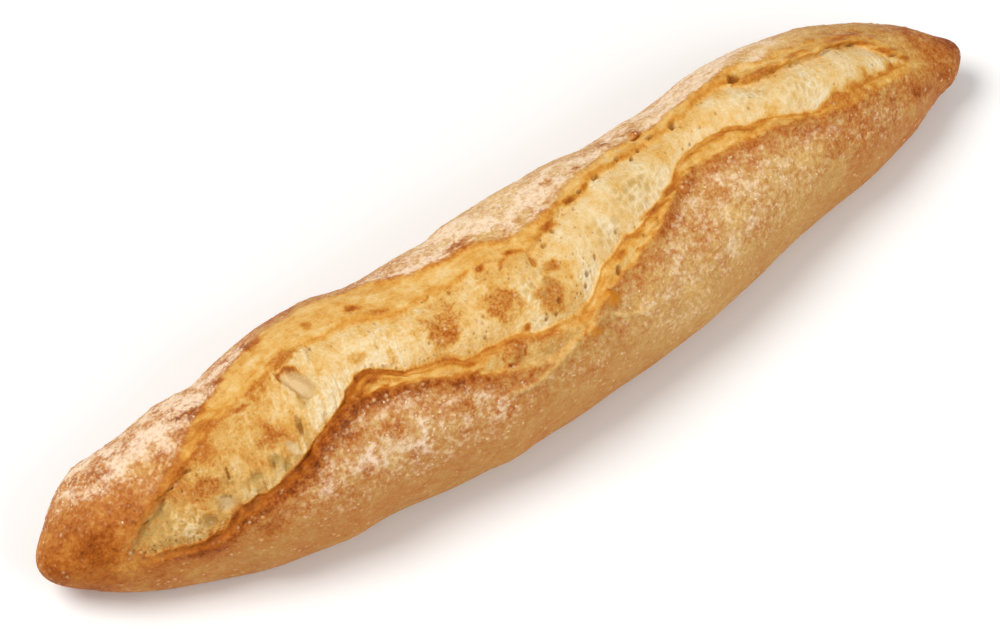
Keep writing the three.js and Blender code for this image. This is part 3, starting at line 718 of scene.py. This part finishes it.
crumb_brown += 0.12 * bell((edge_front - 0.4) / 0.5) - 0.06 * strands * stringy
crumb_brown -= 0.15 * rough * bubbles + 0.14 * web
crumb_brown += mottle((0.12, 5, 5, 74)) + mottle((0.05, 1.6, 5, 75), u=strand_u)
crumb_brown += 0.05 * filmed - 0.3 * combed * comb
crumb_brown += 0.2 * bell((station - 0.363) / 0.02) * smooth(1.3 - in_front / 2.2)
brown += crumb * (crumb_brown - brown)
show("browning of the crumb", crumb_brown)

# %% [markdown]
# The thin torn edges stood nearest to the heat, so each is a line of darker crust, broken where
# it was shaded. The lines at the crumb's two edges are also painted shade: in the groove before the
# front lip, and under the back lip. A second, fainter line beside some of them is the next layer
# of the lip.

# %% Lines of darker crust
broken = mottled_share(0.85, (0.5, 4.5, 3, 76))
in_pieces = mottled_share(0.55, (0.9, 4, 2, 77))
swerve = mottle((0.7, 2.6, 1.2, 23), (0.5, 1.2, 0.9, 79))
torn_line_and_groove_shade = np.where(station < 0.48, broken, in_pieces)
torn_line_and_groove_shade = torn_line_and_groove_shade * (1 - 0.7 * bell((station - 0.352) / 0.011))  # with a gap
late = smooth((station - 0.7) / 0.06)
# distance from the line, how brown it is, its half breadths on either side, where it shows
for line, value, below, above, shown in (
    # in the groove before the front lip: darker crust, and painted shade of the groove
    (edge_front + 0.7 + 0.5 * swerve, edge_f, 1.3, 0.7, torn_line_and_groove_shade),
    (edge_front + 3.4 + swerve, edge_f * smooth((0.4 - station) / 0.1), 0.5, 0.4, broken),
    (torn_front + 1.6 * swerve, seam_f, 0.7, 2.6, broken),
    # under the back lip: darker crust, and painted shadow of the lip
    (edge_back, edge_b, 1.4, 0.7, in_pieces),
    (edge_back + 2.6 + swerve, 0.60 * late, 0.5, 0.5, in_pieces),
    (edge_back + 4.8 + 1.4 * swerve, 0.52 * late, 0.4, 0.7, in_pieces),
    (torn_back, seam_b, 0.8, 1.4, broken),
):
    near = skew_bell(line, below, above) * opened * shown
    brown += near * np.maximum(value - brown, 0)
brown += 0.10 * np.clip(creases, 0, 1.5) - 0.24 * wrinkled
show("browning with its lines", brown)

# %% [markdown]
# Bubbles and flakes that stood up browned on their own. Each has a place, a ragged outline and
# the value it reaches. A grainy spot is toasted crumb, and one with no grain is scorched sugar.

# %% Browned spots
# station, bearing, half length, half breadth, turn, browning it reaches, how grainy it is
SPOTS = [
    (0.2525, 49.8, 3.2, 3.4, 0, 0.74, 0.4), (0.2993, 61.9, 2.2, 2.4, 0, 0.55, 0.3),
    (0.3402, 64.6, 2.6, 2.4, 0, 0.74, 0.3), (0.3531, 74.3, 4, 1.5, 15, 0.58, 0.3),
    (0.2625, 74.6, 4.4, 3.6, 0, 0.6, 0.3), (0.2077, 82.7, 4.8, 1.5, 20, 0.64, 0.3),
    (0.1769, 79.1, 5.6, 2.6, 10, 0.6, 0.2), (0.136, 96, 3.4, 2.2, 0, 0.7, 0.2),
    (0.2157, 103.8, 4.8, 4.8, 0, 0.58, 0.5), (0.149, 112.8, 6.4, 4.8, 0, 0.66, 0.6),
    (0.3183, 104.5, 3.6, 1.8, -20, 0.72, 0.2), (0.3422, 98.4, 1.6, 2.6, 0, 0.38, 0.2),
    (0.3163, 92.7, 3.4, 2.2, 0, 0.34, 0.2), (0.3949, 96.2, 8.6, 7.4, 0, 0.52, 0.7),
    (0.3969, 102.2, 3, 2.6, 0, 0.62, 0.6), (0.4527, 101.5, 6.6, 6.2, 0, 0.58, 0.7),
    (0.4537, 82.7, 1.8, 1.4, 0, 0.8, 0.2), (0.4368, 126, 3.6, 3.2, 0, 0.62, 0.1),
    (0.4627, 67.8, 4, 0.9, 0, 0.76, 0.2), (0.455, 62, 6.5, 2.8, 0, 0.7, 0.3),
    (0.379, 136.5, 3, 3.2, 0, 0.6, 0.2), (0.2754, 127.1, 6, 3, 0, 0.62, 0.4),
    (0.4915, 110.9, 5, 5.6, 0, 0.6, 0.6), (0.5055, 99.8, 3, 2.6, 0, 0.56, 0.3),
    (0.5284, 82.9, 3.4, 1.8, 0, 0.7, 0.3), (0.5612, 75.7, 3.2, 1.4, 0, 0.74, 0.2),
    (0.5891, 58.6, 3.2, 1.4, 0, 0.74, 0.3), (0.5583, 56.1, 3, 1.4, 0, 0.68, 0.3),
    (0.624, 51.7, 3, 2.4, 0, 0.74, 0.3), (0.6539, 56.4, 2.3, 2.3, 0, 0.84, 0.2),
    (0.4587, 118.9, 1.8, 1.4, 0, 0.7, 0.2), (0.5682, 111.6, 2.2, 1.8, 0, 0.66, 0.2),
    (0.615, 102.5, 4.2, 1.4, 0, 0.66, 0.2), (0.6449, 98.9, 3, 1.8, 0, 0.7, 0.3),
    (0.5393, 129.9, 3.8, 3, 0, 0.56, 0), (0.5115, 139.2, 3.4, 2.4, 0, 0.6, 0),
    (0.8411, 114.9, 6, 3.2, 0, 0.52, 0.5), (0.8709, 121.7, 6, 3.6, 0, 0.54, 0.5),
    (0.9237, 143.7, 2.2, 3.2, 0, 0.74, 0.4), (0.893, 71, 9, 1.8, 0, 0.66, 0.3),
    (0.8112, 142.3, 5, 5, 0, 0.54, 0.3), (0.168, 64, 7, 2.6, 10, 0.82, 0.3),
    (0.205, 56, 4, 2, 10, 0.8, 0.3), (0.045, 124, 8, 6, 20, 0.78, 0.2),
    (0.4846, 83.8, 2.4, 1, 15, 0.74, 0.2), (0.4955, 93.2, 1.2, 2.6, 0, 0.6, 0.2),
    (0.79, 75.5, 6.5, 2.2, 8, 0.64, 0.4), (0.7654, 68.5, 2.8, 2.6, 0, 0.7, 0.2),
    (0.31, 131, 4.5, 4, 0, 0.62, 0.3),
]
print("browned spots:", len(SPOTS))
grainy, vivid, toasted = 0 * along, 0 * along, 0 * along
for i, (s, b, length, breadth, turn, value, grains) in enumerate(SPOTS):
    r = spot(s, b, length, breadth, turn)
    r += mottle((0.3, 1.9, 1.9, 100 + i), (0.2 * grains, 0.9, 0.9, 150 + i))
    there = 1 - smooth((r - 0.25) / 0.95)
    brown += there * (value - brown) * np.where(value > brown, 1, 0.4)
    grainy = np.maximum(grainy, there * grains)
    toasted = np.maximum(toasted, there)
    if grains == 0:
        vivid = np.maximum(vivid, there * (0.6 + mottle((0.5, 1.5, 1.5, 180))))
relief += 0.3 * grainy * (0.3 + mottle((1, 1.2, 1.2, 78))) * np.where(crumb > 0.5, 1, 0.3)
# painted shade on the back half of the pockets' rims, and the blisters' dark outlines
brown = np.maximum(brown, np.maximum(0.74 * rim_shade, outline))

# %% [markdown]
# Young crust is thin, and shows clearer gold than the first skin at the same browning. So a
# second number says how young a place is, and the crumb is a little duller again.

# %% Gold of the young crust
# station; how much duller than fresh crust the crumb is
DULL_CRUMB = [(0.07, 0.9), (0.13, 0.6), (0.2, 0.45), (0.26, 0.25), (0.5, 0.25), (0.6, 0.1)]
DULL_CRUMB += [(0.93, 0.1)]
# station, bearing, reach along, reach across, how golden: the first skin where it is as clear
GOLDEN = [(0.055, 137, 6, 4, 0.6), (0.04, 110, 18, 30, 0.6)]
GOLDEN += [(0.928, 102, 5, 6, 0.8), (0.82, 60, 14, 5, 0.8)]
young = smooth(0.5 - torn_front / 2.2) * smooth(0.5 - torn_back / 2.6) * opened
tan_zone = bell((station - 0.458) / 0.028) * smooth(-edge_front / 2)
young = young * (1 - 0.9 * tan_zone) * (1 - 0.8 * grainy)
young *= 1 - crumb * curve(DULL_CRUMB)(station)
young = np.clip(young + vivid, 0, 1)
for s, b, length, breadth, amount in GOLDEN:
    young = np.maximum(young, amount * bell(spot(s, b, length, breadth)))
print("young skin:", int(100 * (young > 0.5).mean()), "% of the net")

# %% [markdown]
# With the relief complete, each point moves out from the plain loaf and, at the back lip, round
# it. The base stays flat, and nothing goes below the floor.

# %% Points of the skin
points = plain + out * relief[..., None] + around * sideways[..., None]
points[..., 1] += CENTRE_SHIFT
on_floor = plain[..., 2] < 1e-6
points[..., 2] = np.where(on_floor, 0.5 * under * dimples, np.maximum(points[..., 2], 0))
print("box of the net, in mm:", points.min((0, 1)).round(2), points.max((0, 1)).round(2))

# %% [markdown]
# ## Where the flour lies
# The baker dusted the dough before slashing it, so flour lies only on the first skin, in clumps
# where the hand dropped more of it.

# %% Where flour lies
# station, bearing, reach along, reach across, amount
FLOURED = [
    (0.11, 52, 16, 11, 0.6), (0.165, 50, 14, 10, 0.62), (0.15, 66, 8, 4, 0.45),
    (0.07, 52, 8, 8, 0.3), (0.22, 45, 10, 6, 0.45), (0.49, 50, 26, 11, 0.92),
    (0.42, 50, 9, 7, 0.75), (0.57, 54, 14, 9, 0.8), (0.715, 49, 22, 13, 1),
    (0.79, 40, 12, 6, 0.5), (0.29, 134, 15, 9, 0.38), (0.35, 138, 15, 9, 0.3),
    (0.235, 144, 9, 6, 0.14), (0.4, 146, 10, 7, 0.16), (0.52, 152, 22, 8, 0.1),
    (0.66, 116, 16, 12, 0.16), (0.73, 126, 16, 12, 0.14), (0.7, 146, 22, 8, 0.14),
    (0.6, 136, 12, 8, 0.14), (0.85, 130, 16, 10, 0.12), (0.8, 110, 10, 7, 0.18),
    (0.605, 163, 9, 6, 0.16),
]
dusted = 0 * along
for s, b, length, breadth, amount in FLOURED:
    dusted = 1 - (1 - dusted) * (1 - amount * bell(1.1 * spot(s, b, length, breadth)))
clumps = 1 + mottle((1.1, 12, 4.5, 81), (0.9, 3.6, 3.0, 82))
clumps += mottle((0.5 + smooth(across / 15), 1.7, 1.7, 84))
bare_skin = smooth((torn_front - 1) / 4) + smooth(torn_back / 2.0 + 0.1) + (1 - opened)
bare_skin = np.clip(bare_skin, 0, 1) * (1 - 0.8 * toasted)
sides = smooth((205 - bearing) / 15) * smooth((bearing + 15) / 15)
flour = np.clip(np.maximum(dusted * clumps, 0.55 * dusted), 0, 0.85) * bare_skin * sides
flour = np.maximum(flour, 0.05 * under * (1 + mottle((1, 5, 5, 83))))
print("floured skin:", int(100 * (flour > 0.2).mean()), "% of the net")

# %% [markdown]
# All that the materials and the scatter need to know is now gathered under one name each, to be
# kept at the points of the mesh. Two of them are directions, along which strands and layers run.

# %% Finishes kept at the points
from_edge = np.where(bearing < sum(edges) / 2, edge_back, edge_front)
FINISHES = {
    "brown": brown,
    "young": young,
    "crumb": crumb,
    "grainy": grainy,
    "stringy": crumb * np.clip(stringy, 0, 1),
    "pocket": pocket,
    "film_and_shade": film_and_shade,
    "vivid": vivid,
    "hole_shade": hole_shade,
    "wall": wall,
    "flour": flour,
    "loose": (np.clip(flour * 1.3, 0, 1) ** 1.5 * 0.24 + 0.0015 * bare_skin) * sides,
    "pull": np.stack(np.broadcast_arrays(strand_u, across, level), -1),
    "layer": np.stack(np.broadcast_arrays(along, from_edge, level), -1),
    "turn_x": np.cos(2 * np.pi * round_share),
    "turn_y": np.sin(2 * np.pi * round_share),
}
print("fields:", *FINISHES)

# %% [markdown]
# ## One closed mesh
# The rings are joined by four-sided faces, and one point closes each tip. The net is finer than
# it needs to be on the plain sides, so Blender's Decimate modifier thins it there and leaves the
# detail. It is applied, because an export keeps meshes and not modifiers.

# %% Make the mesh
MOST_TRIANGLES = 190_000


def add_object(name, data):
    """A new object of this name in the scene."""
    made = bpy.data.objects.new(name, data)
    bpy.context.scene.collection.objects.link(made)
    return made


def closed_net(name, points, fields):
    """A closed mesh from rings of points, with one float attribute for each field."""
    rings, columns, _ = points.shape
    tips = plain_loaf(np.array([0.0, 1.0]), np.array([0.0, 0.0]))
    tips[:, 1] += CENTRE_SHIFT
    verts = np.concatenate([points.reshape(-1, 3), tips]) * MM
    at = np.arange(rings * columns).reshape(rings, columns)
    nxt = np.roll(at, -1, axis=1)
    quads = np.stack([at[:-1], nxt[:-1], nxt[1:], at[1:]], -1).reshape(-1, 4)
    start, end = rings * columns, rings * columns + 1
    fan0 = np.stack([np.full(columns, start), nxt[0], at[0]], -1)
    fan1 = np.stack([np.full(columns, end), at[-1], nxt[-1]], -1)
    mesh = bpy.data.meshes.new(name)
    mesh.from_pydata(verts, [], quads.tolist() + fan0.tolist() + fan1.tolist())
    for field, values in fields.items():
        if values.ndim == 3:
            data = np.concatenate([values.reshape(-1, 3), values[[0, -1]].mean(1)]).ravel()
            mesh.attributes.new(field, "FLOAT_VECTOR", "POINT").data.foreach_set("vector", data)
            continue
        tip_values = [values[0].mean(), values[-1].mean()]
        data = np.concatenate([np.broadcast_to(values, (rings, columns)).ravel(), tip_values])
        mesh.attributes.new(field, "FLOAT", "POINT").data.foreach_set("value", data)
    mesh.validate()
    return mesh


net = add_object("net", closed_net("net", points, FINISHES))
thin = net.modifiers.new("thin", "DECIMATE")
thin.ratio = MOST_TRIANGLES / (2 * rings * columns)
thin.use_collapse_triangulate = True
depsgraph = bpy.context.evaluated_depsgraph_get()
mesh = bpy.data.meshes.new_from_object(net.evaluated_get(depsgraph))
mesh.name = "loaf_skin"
bpy.data.objects.remove(net)
loaf = add_object("loaf_skin", mesh)
mesh.shade_smooth()
print("loaf:", len(mesh.polygons), "faces")

# %% [markdown]
# Thinning moves points a little, so those of the base are set back on the floor. Then the skin is
# given a map, so that a bake has somewhere to go: the way round the loaf runs up it and the way
# along it runs across. A face that crosses the middle of the base would be torn over the whole
# map, so its corners that lie past the start are counted on beyond a full turn.

# %% Base and map
def values_of(items, name, shape, kind=float):
    """One property of every item of a mesh, as an array of this shape."""
    values = np.empty(math.prod(shape) * len(items), kind)
    items.foreach_get(name, values)
    return values.reshape(-1, *shape)


place_of = values_of(mesh.vertices, "co", (3,))
place_of[:, 2] = np.maximum(place_of[:, 2], 0)
mesh.vertices.foreach_set("co", place_of.ravel())
mesh.update()

turn = [values_of(mesh.attributes[name].data, "value", ()) for name in ("turn_x", "turn_y")]
corner = values_of(mesh.loops, "vertex_index", (), int).reshape(-1, 3)
travelled = np.linalg.norm(np.diff(points, axis=0), axis=-1).mean(1)
travelled = np.concatenate([[0], np.cumsum(travelled)]) / travelled.sum()
map_u = np.interp(place_of[:, 0], points[..., 0].mean(1) * MM, travelled)[corner]
map_v = (np.arctan2(turn[1], turn[0]) / (2 * np.pi) % 1)[corner]
NEAR_TIP = 0.3  # at a tip all directions meet, and their mean is shorter than this
at_tip = (np.hypot(*turn) < NEAR_TIP)[corner]
crosses = np.ptp(np.where(at_tip, map_v.mean(), map_v), axis=1) > 0.5
map_v += crosses[:, None] & (map_v < 0.5)
others = np.where(at_tip, 0, map_v).sum(1) / np.maximum((~at_tip).sum(1), 1)
map_v = np.where(at_tip, others[:, None], map_v)
bake_map = mesh.uv_layers.new(name="OFBake")
bake_map.uv.foreach_set("vector", np.stack([map_u, map_v / map_v.max()], -1).ravel())
print("map: faces across its seam:", int(crosses.sum()), "length of a full turn:", 1 / map_v.max())

# %% [markdown]
# ## The crust's material
# Baked wheat crust has a faint sheen, and bare crumb and flour have none. Its colour runs along
# the browning scale. Two scales are used: a clear golden one for what opened in the oven, and a
# duller one for the floured first skin. Noise at three sizes makes the browning uneven: broad
# clouds, mottling of two millimetres, and grain of less than one.

# %% Helpers for nodes
def srgb(text):
    """A hex colour as the linear numbers that a shader takes."""
    values = [int(text[i : i + 2], 16) / 255 for i in (1, 3, 5)]
    return [v / 12.92 if v <= 0.04045 else ((v + 0.055) / 1.055) ** 2.4 for v in values] + [1.0]


def add(tree, kind, inputs=None, out=0, **settings):
    """Adds a node, sets or links its inputs, and gives back one of its output sockets.

    A short kind, such as Math, is a shader node's. An output node has no sockets to give back.
    """
    node = tree.nodes.new(kind if "Node" in kind else "ShaderNode" + kind)
    for name, value in settings.items():
        setattr(node, name, value)
    for name, value in (inputs or {}).items():
        if isinstance(value, bpy.types.NodeSocket):
            tree.links.new(value, node.inputs[name])
        else:
            node.inputs[name].default_value = value
    return node.outputs[out] if node.outputs else None


def new_material(name):
    """A material whose tree is empty, and that tree."""
    made = bpy.data.materials.new(name)
    made.use_nodes = True
    made.node_tree.nodes.clear()
    return made, made.node_tree


# settings that many nodes share
TIMES, MINUS = {"operation": "MULTIPLY"}, {"operation": "SUBTRACT"}
TIMES_PLUS = {"operation": "MULTIPLY_ADD"}  # the first times the second, plus the third
BLEND = {"out": 2, "data_type": "RGBA"}  # from the colour at 6 to the one at 7, by the share at 0

# %% Uneven browning
crust, tree = new_material("oven_baked_wheat_crust")
place = add(tree, "TexCoord", out="Object")
NOT_SHADED = ("loose", "pull", "layer", "turn_x", "turn_y")
kept = {
    name: add(tree, "Attribute", out="Fac", attribute_name=name)
    for name in FINISHES
    if name not in NOT_SHADED
}
squeezed = []
for attribute, size_u, size_v in (("pull", 1.0, 3.6), ("layer", 7.0, 1.2)):
    read = add(tree, "Attribute", out="Vector", attribute_name=attribute)
    scale = (1 / size_u, 1 / size_v, 1)
    squeezed.append(add(tree, "Mapping", {"Vector": read, "Scale": scale}))
# the place it reads, its scale (1000 over the millimetres of a patch), its detail, and how far it
# moves the browning of the first skin, of the young crust, of the crumb, of the toasted patches,
# of the strands and of the wall
NOISES = {
    "clouds": (place, 1000 / 7.0, 2, 0.40, 0.25, 0.20, 0, 0, -0.20),
    "mottling": (place, 1000 / 2.1, 3, 0.68, 0.34, 0.24, 0, 0, -0.38),
    "grain": (place, 1000 / 0.8, 2, 0.55, 0.18, 0.20, 0.40, 0, -0.22),
    "strand": (squeezed[0], 1.0, 3, 0, 0, 0.05, 0, 0.34, 0),
    "leaf": (squeezed[1], 1.0, 2, 0, 0.18, 0, 0, 0, 0),
}
noises = {}
browning = kept["brown"]
for name, (read, scale, detail, on_skin, on_young, on_crumb, *more) in NOISES.items():
    noises[name] = add(tree, "TexNoise", {"Vector": read, "Scale": scale, "Detail": detail})
    strength = on_skin
    changes = [on_young - on_skin, on_crumb - on_young, *more]
    for mask, change in zip(("young", "crumb", "grainy", "stringy", "wall"), changes):
        strength = add(tree, "Math", {0: kept[mask], 1: change, 2: strength}, **TIMES_PLUS)
    offset = add(tree, "Math", {0: noises[name], 1: 0.5}, **MINUS)
    browning = add(tree, "Math", {0: offset, 1: strength, 2: browning}, **TIMES_PLUS)
print("noises:", *noises)

# %% Scales from browning to colour
YOUNG_CRUST = [
    (0.0, "#e9d8b4"), (0.12, "#e3c896"), (0.30, "#dcaf64"), (0.45, "#cf923c"), (0.58, "#bb7326"),
    (0.72, "#a75a15"), (0.86, "#88420a"), (1.0, "#55290d"),
]
FIRST_SKIN = [
    (0.0, "#e2c086"), (0.2, "#d3a660"), (0.38, "#c19250"), (0.52, "#ba7b3b"), (0.66, "#ae6325"),
    (0.8, "#94470f"), (1.0, "#642f10"),
]
scales = []
for stops in (FIRST_SKIN, YOUNG_CRUST):
    colour = add(tree, "ValToRGB", {"Fac": browning}, out="Color")
    ramp = colour.node.color_ramp
    for _ in stops[2:]:
        ramp.elements.new(0.5)
    for element, (position, text) in zip(ramp.elements, stops):
        element.position, element.color = position, srgb(text)
    scales.append(colour)

# %% [markdown]
# Fine flour is too thin to be modelled, so it is a veil of colour. It thickens and thins from
# grain to grain, drawn coarser than real flour so that it shows, and a thin mist of it is left
# between the clumps.

# %% Veil of flour
CONTRAST, THRESHOLD = 3.8, 2.05
grit = {"Vector": place, "Scale": 1000 / 1.35, "Detail": 3, "Roughness": 0.55}
veil = add(tree, "TexNoise", grit)
veil = add(tree, "Math", {0: veil, 1: CONTRAST, 2: -THRESHOLD}, **TIMES_PLUS)
veil = add(tree, "Math", {0: kept["flour"], 1: 1.2, 2: veil}, **TIMES_PLUS)
some = add(tree, "Math", {0: kept["flour"], 1: 8.0}, use_clamp=True, **TIMES)
veil = add(tree, "Math", {0: veil, 1: some}, use_clamp=True, **TIMES)
mist = add(tree, "Math", {0: kept["flour"], 1: 0.3}, **TIMES)
veil = add(tree, "Math", {0: veil, 1: 0.62, 2: mist}, **TIMES_PLUS)
dust = {0: kept["flour"], 6: srgb("#efcc98"), 7: srgb("#f3dbc0")}
dust = add(tree, "Mix", dust, **BLEND)

# %% Specks
# pale specks, two to three millimetres apart, on the first skin and in patches
speck = add(tree, "TexVoronoi", {"Vector": place, "Scale": 1000 / 2.6}, "Distance")
fading = {"Value": speck, "From Min": 0.1, "From Max": 0.28, "To Min": 0.6, "To Max": 0}
speck = add(tree, "MapRange", fading, "Result")
first_skin = add(tree, "Math", {0: 1.2, 1: kept["young"]}, use_clamp=True, **MINUS)
some = add(tree, "Math", {0: noises["clouds"], 1: 5.0, 2: -2.0}, use_clamp=True, **TIMES_PLUS)
for share in (first_skin, some):
    speck = add(tree, "Math", {0: speck, 1: share}, **TIMES)

# %% Colours, each laid over the ones before it
colour = scales[0]
for share, laid in (
    (kept["young"], scales[1]),
    (kept["pocket"], srgb("#d2b686")),  # smooth bowls of burst bubbles
    # dried starch, and painted shade in the gaps between the comb's strands
    (kept["film_and_shade"], srgb("#ae8c4e")),  # dried starch
    (kept["vivid"], srgb("#cb7d08")),  # scorched sugar
    # painted shade in the holes
    (kept["hole_shade"], srgb("#8f5a1e")),  # the dark of holes
    (veil, dust),
    (speck, srgb("#e6c193")),
):
    colour = add(tree, "Mix", {0: share, 6: colour, 7: laid}, **BLEND)

# %% Gloss and bumps
gloss = add(tree, "MapRange", {"Value": kept["crumb"], "To Min": 0.5, "To Max": 0.7}, "Result")
gloss = add(tree, "Math", {0: veil, 1: 0.35, 2: gloss}, **TIMES_PLUS)
threads = add(tree, "Math", {0: noises["strand"], 1: kept["stringy"]}, **TIMES)
height = noises["grain"]
for part, share in ((noises["mottling"], 0.5), (veil, 0.35), (threads, 1.2)):
    height = add(tree, "Math", {0: part, 1: share, 2: height}, **TIMES_PLUS)
bumps = add(tree, "Bump", {"Strength": 0.6, "Distance": 0.6 * MM, "Height": height})
matt = {"Base Color": colour, "Roughness": gloss, "IOR": 1.45, "Specular IOR Level": 0.1}
surface = add(tree, "BsdfPrincipled", {**matt, "Normal": bumps})
add(tree, "OutputMaterial", {"Surface": surface})
mesh.materials.clear()
mesh.materials.append(crust)
print(crust.name + ":", len(tree.nodes), "nodes")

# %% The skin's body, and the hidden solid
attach(loaf, "root")
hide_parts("loaf")

# %% [markdown]
# ## Loose flour
# Apart from the fine dust, which is in the crust's material, there are small heaps of flour a
# third of a millimetre to a millimetre across. Geometry Nodes scatter them over the crust where
# the flour lies: points by a density, a flattened grain on each, turned to the skin's direction.

# %% A tree that scatters grains
scatter = bpy.data.node_groups.new("flour_grains", "GeometryNodeTree")
scatter.interface.new_socket("Geometry", in_out="OUTPUT", socket_type="NodeSocketGeometry")
for name, kind, default in (
    ("Skin", "Geometry", None),
    ("Grains per square metre", "Float", 1.0e6),
    ("Smallest grain", "Float", 0.16 * MM),
    ("Largest grain", "Float", 0.5 * MM),
    ("Seed", "Int", 5),
    ("Flour", "Material", None),
):
    socket = scatter.interface.new_socket(name, in_out="INPUT", socket_type="NodeSocket" + kind)
    if default is not None:
        socket.default_value = default
given = add(scatter, "NodeGroupInput").node.outputs
NAMED = "GeometryNodeInputNamedAttribute"
dusting = add(scatter, NAMED, {"Name": "loose"}, "Attribute", data_type="FLOAT")
density = add(scatter, "Math", {0: dusting, 1: given["Grains per square metre"]}, **TIMES)
landing = {"Mesh": given["Skin"], "Density": density, "Seed": given["Seed"]}
landed = add(scatter, "GeometryNodeDistributePointsOnFaces", landing)
sizes = {2: given["Smallest grain"], 3: given["Largest grain"], "Seed": given["Seed"]}
size = add(scatter, "FunctionNodeRandomValue", sizes, out=1, data_type="FLOAT")
flat = add(scatter, "CombineXYZ", {"X": 1.0, "Y": 0.75, "Z": 0.4})
scale = add(scatter, "VectorMath", {0: flat, 1: size}, **TIMES)
grain_shape = add(scatter, "GeometryNodeMeshIcoSphere", {"Radius": 1.0, "Subdivisions": 1})
turns = {0: (0, 0, 0), 1: (0.3, 0.3, 6.28), "Seed": given["Seed"]}  # radians about its own axes
turns = add(scatter, "FunctionNodeRandomValue", turns, data_type="FLOAT_VECTOR")
turns = add(scatter, "FunctionNodeEulerToRotation", {"Euler": turns})
turned = {"Rotation": landed.node.outputs["Rotation"], "Rotate By": turns}
turned = add(scatter, "FunctionNodeRotateRotation", turned, rotation_space="LOCAL")
heaps = {"Points": landed, "Instance": grain_shape, "Rotation": turned, "Scale": scale}
heaps = add(scatter, "GeometryNodeInstanceOnPoints", heaps)
heaps = add(scatter, "GeometryNodeRealizeInstances", {"Geometry": heaps})
heaps = add(scatter, "GeometryNodeSetMaterial", {"Geometry": heaps, "Material": given["Flour"]})
add(scatter, "NodeGroupOutput", {0: heaps})
print(scatter.name + ":", len(scatter.nodes), "nodes")

# %% Flour's material
# dry powder: matt and creamy, a little darker or lighter every few millimetres
flour_material, tree = new_material("dry_wheat_flour")
place = add(tree, "TexCoord", out="Object")
tone = add(tree, "TexNoise", {"Vector": place, "Scale": 1000 / 3.0, "Detail": 2})
tone = add(tree, "Mix", {0: tone, 6: srgb("#dbb888"), 7: srgb("#ecd3b0")}, **BLEND)
powder = {"Base Color": tone, "Roughness": 0.95, "Specular IOR Level": 0.1}
surface = add(tree, "BsdfPrincipled", powder)
add(tree, "OutputMaterial", {"Surface": surface})
print(flour_material.name + ":", len(tree.nodes), "nodes")

# %% Scatter the grains
carrier = add_object("flour_loose", mesh.copy())
modifier = carrier.modifiers.new("flour", "NODES")
modifier.node_group = scatter
identifiers = {item.name: item.identifier for item in scatter.interface.items_tree}
modifier[identifiers["Flour"]] = flour_material
depsgraph = bpy.context.evaluated_depsgraph_get()
grains = bpy.data.meshes.new_from_object(carrier.evaluated_get(depsgraph))
bpy.data.objects.remove(carrier)
flour_loose = add_object("flour_loose", grains)
print("flour:", len(grains.polygons) // 20, "grains,", len(grains.polygons), "faces")
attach(flour_loose, "root")
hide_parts("loaf")

# %% [markdown]
# ## Floor, light and camera
# The loaf lies on white paper. One large soft lamp behind it on the left draws the relief, a weak
# one in front on the right and a pale surround keep the shadows open. A long lens keeps the far
# tip as large as the near one.

# %% Floor
HALF_FLOOR = 3.0  # metres from its middle to its sides
signs = ((-1, -1), (1, -1), (1, 1), (-1, 1))
floor_mesh = bpy.data.meshes.new("floor")
floor_mesh.from_pydata([(x * HALF_FLOOR, y * HALF_FLOOR, 0) for x, y in signs], [], [range(4)])
paper, tree = new_material("white_paper_sweep")
surface = add(tree, "BsdfPrincipled", {"Base Color": srgb("#f4f3f1"), "Roughness": 0.9})
add(tree, "OutputMaterial", {"Surface": surface})
floor_mesh.materials.append(paper)
floor_object = add_object("floor", floor_mesh)


# %% Lamps and surround
def softbox(name, place, size, power, aim=(0, 0, 0.02)):
    """A round lamp of this size in metres and power in watts, turned to the loaf."""
    light = bpy.data.lights.new(name, "AREA")
    light.shape, light.size, light.energy = "DISK", size, power
    lamp = add_object(name, light)
    lamp.location = place
    lamp.rotation_euler = (Vector(aim) - Vector(place)).to_track_quat("-Z", "Y").to_euler()


softbox("softbox_key", (-0.7, 0.5, 1.5), 1.0, 23)
softbox("softbox_fill", (0.6, -1.2, 1.0), 1.2, 11)
world = bpy.data.worlds.new("studio")
bpy.context.scene.world = world
world.use_nodes = True
surround = world.node_tree.nodes["Background"].inputs
surround["Color"].default_value, surround["Strength"].default_value = (1, 1, 1, 1), 0.42
bpy.context.scene.view_settings.view_transform = "Standard"

# %% Camera
AZIMUTH, ELEVATION, DISTANCE = math.radians(-33.43), math.radians(60), 1.119
# metres from the middle of the loaf to the middle of the frame, to the left and down
TO_LEFT, TO_BELOW = 0.00504, 0.00905
right = Vector((math.cos(AZIMUTH), math.sin(AZIMUTH), 0))
level_back = Vector((math.sin(AZIMUTH), -math.cos(AZIMUTH), 0))
back = level_back * math.cos(ELEVATION) + Vector((0, 0, math.sin(ELEVATION)))
up = back.cross(right)
target = Vector((0, CENTRE_SHIFT * MM, 0.022)) - TO_LEFT * right - TO_BELOW * up
lens = bpy.data.cameras.new("camera")
lens.lens, lens.sensor_width, lens.clip_start = 135, 36, 0.05
camera = add_object("camera", lens)
camera.matrix_world = Matrix((right, up, back)).transposed().to_4x4()
camera.location = target + back * DISTANCE
bpy.context.scene.camera = camera
print("camera, in metres:", [round(v, 3) for v in camera.location])
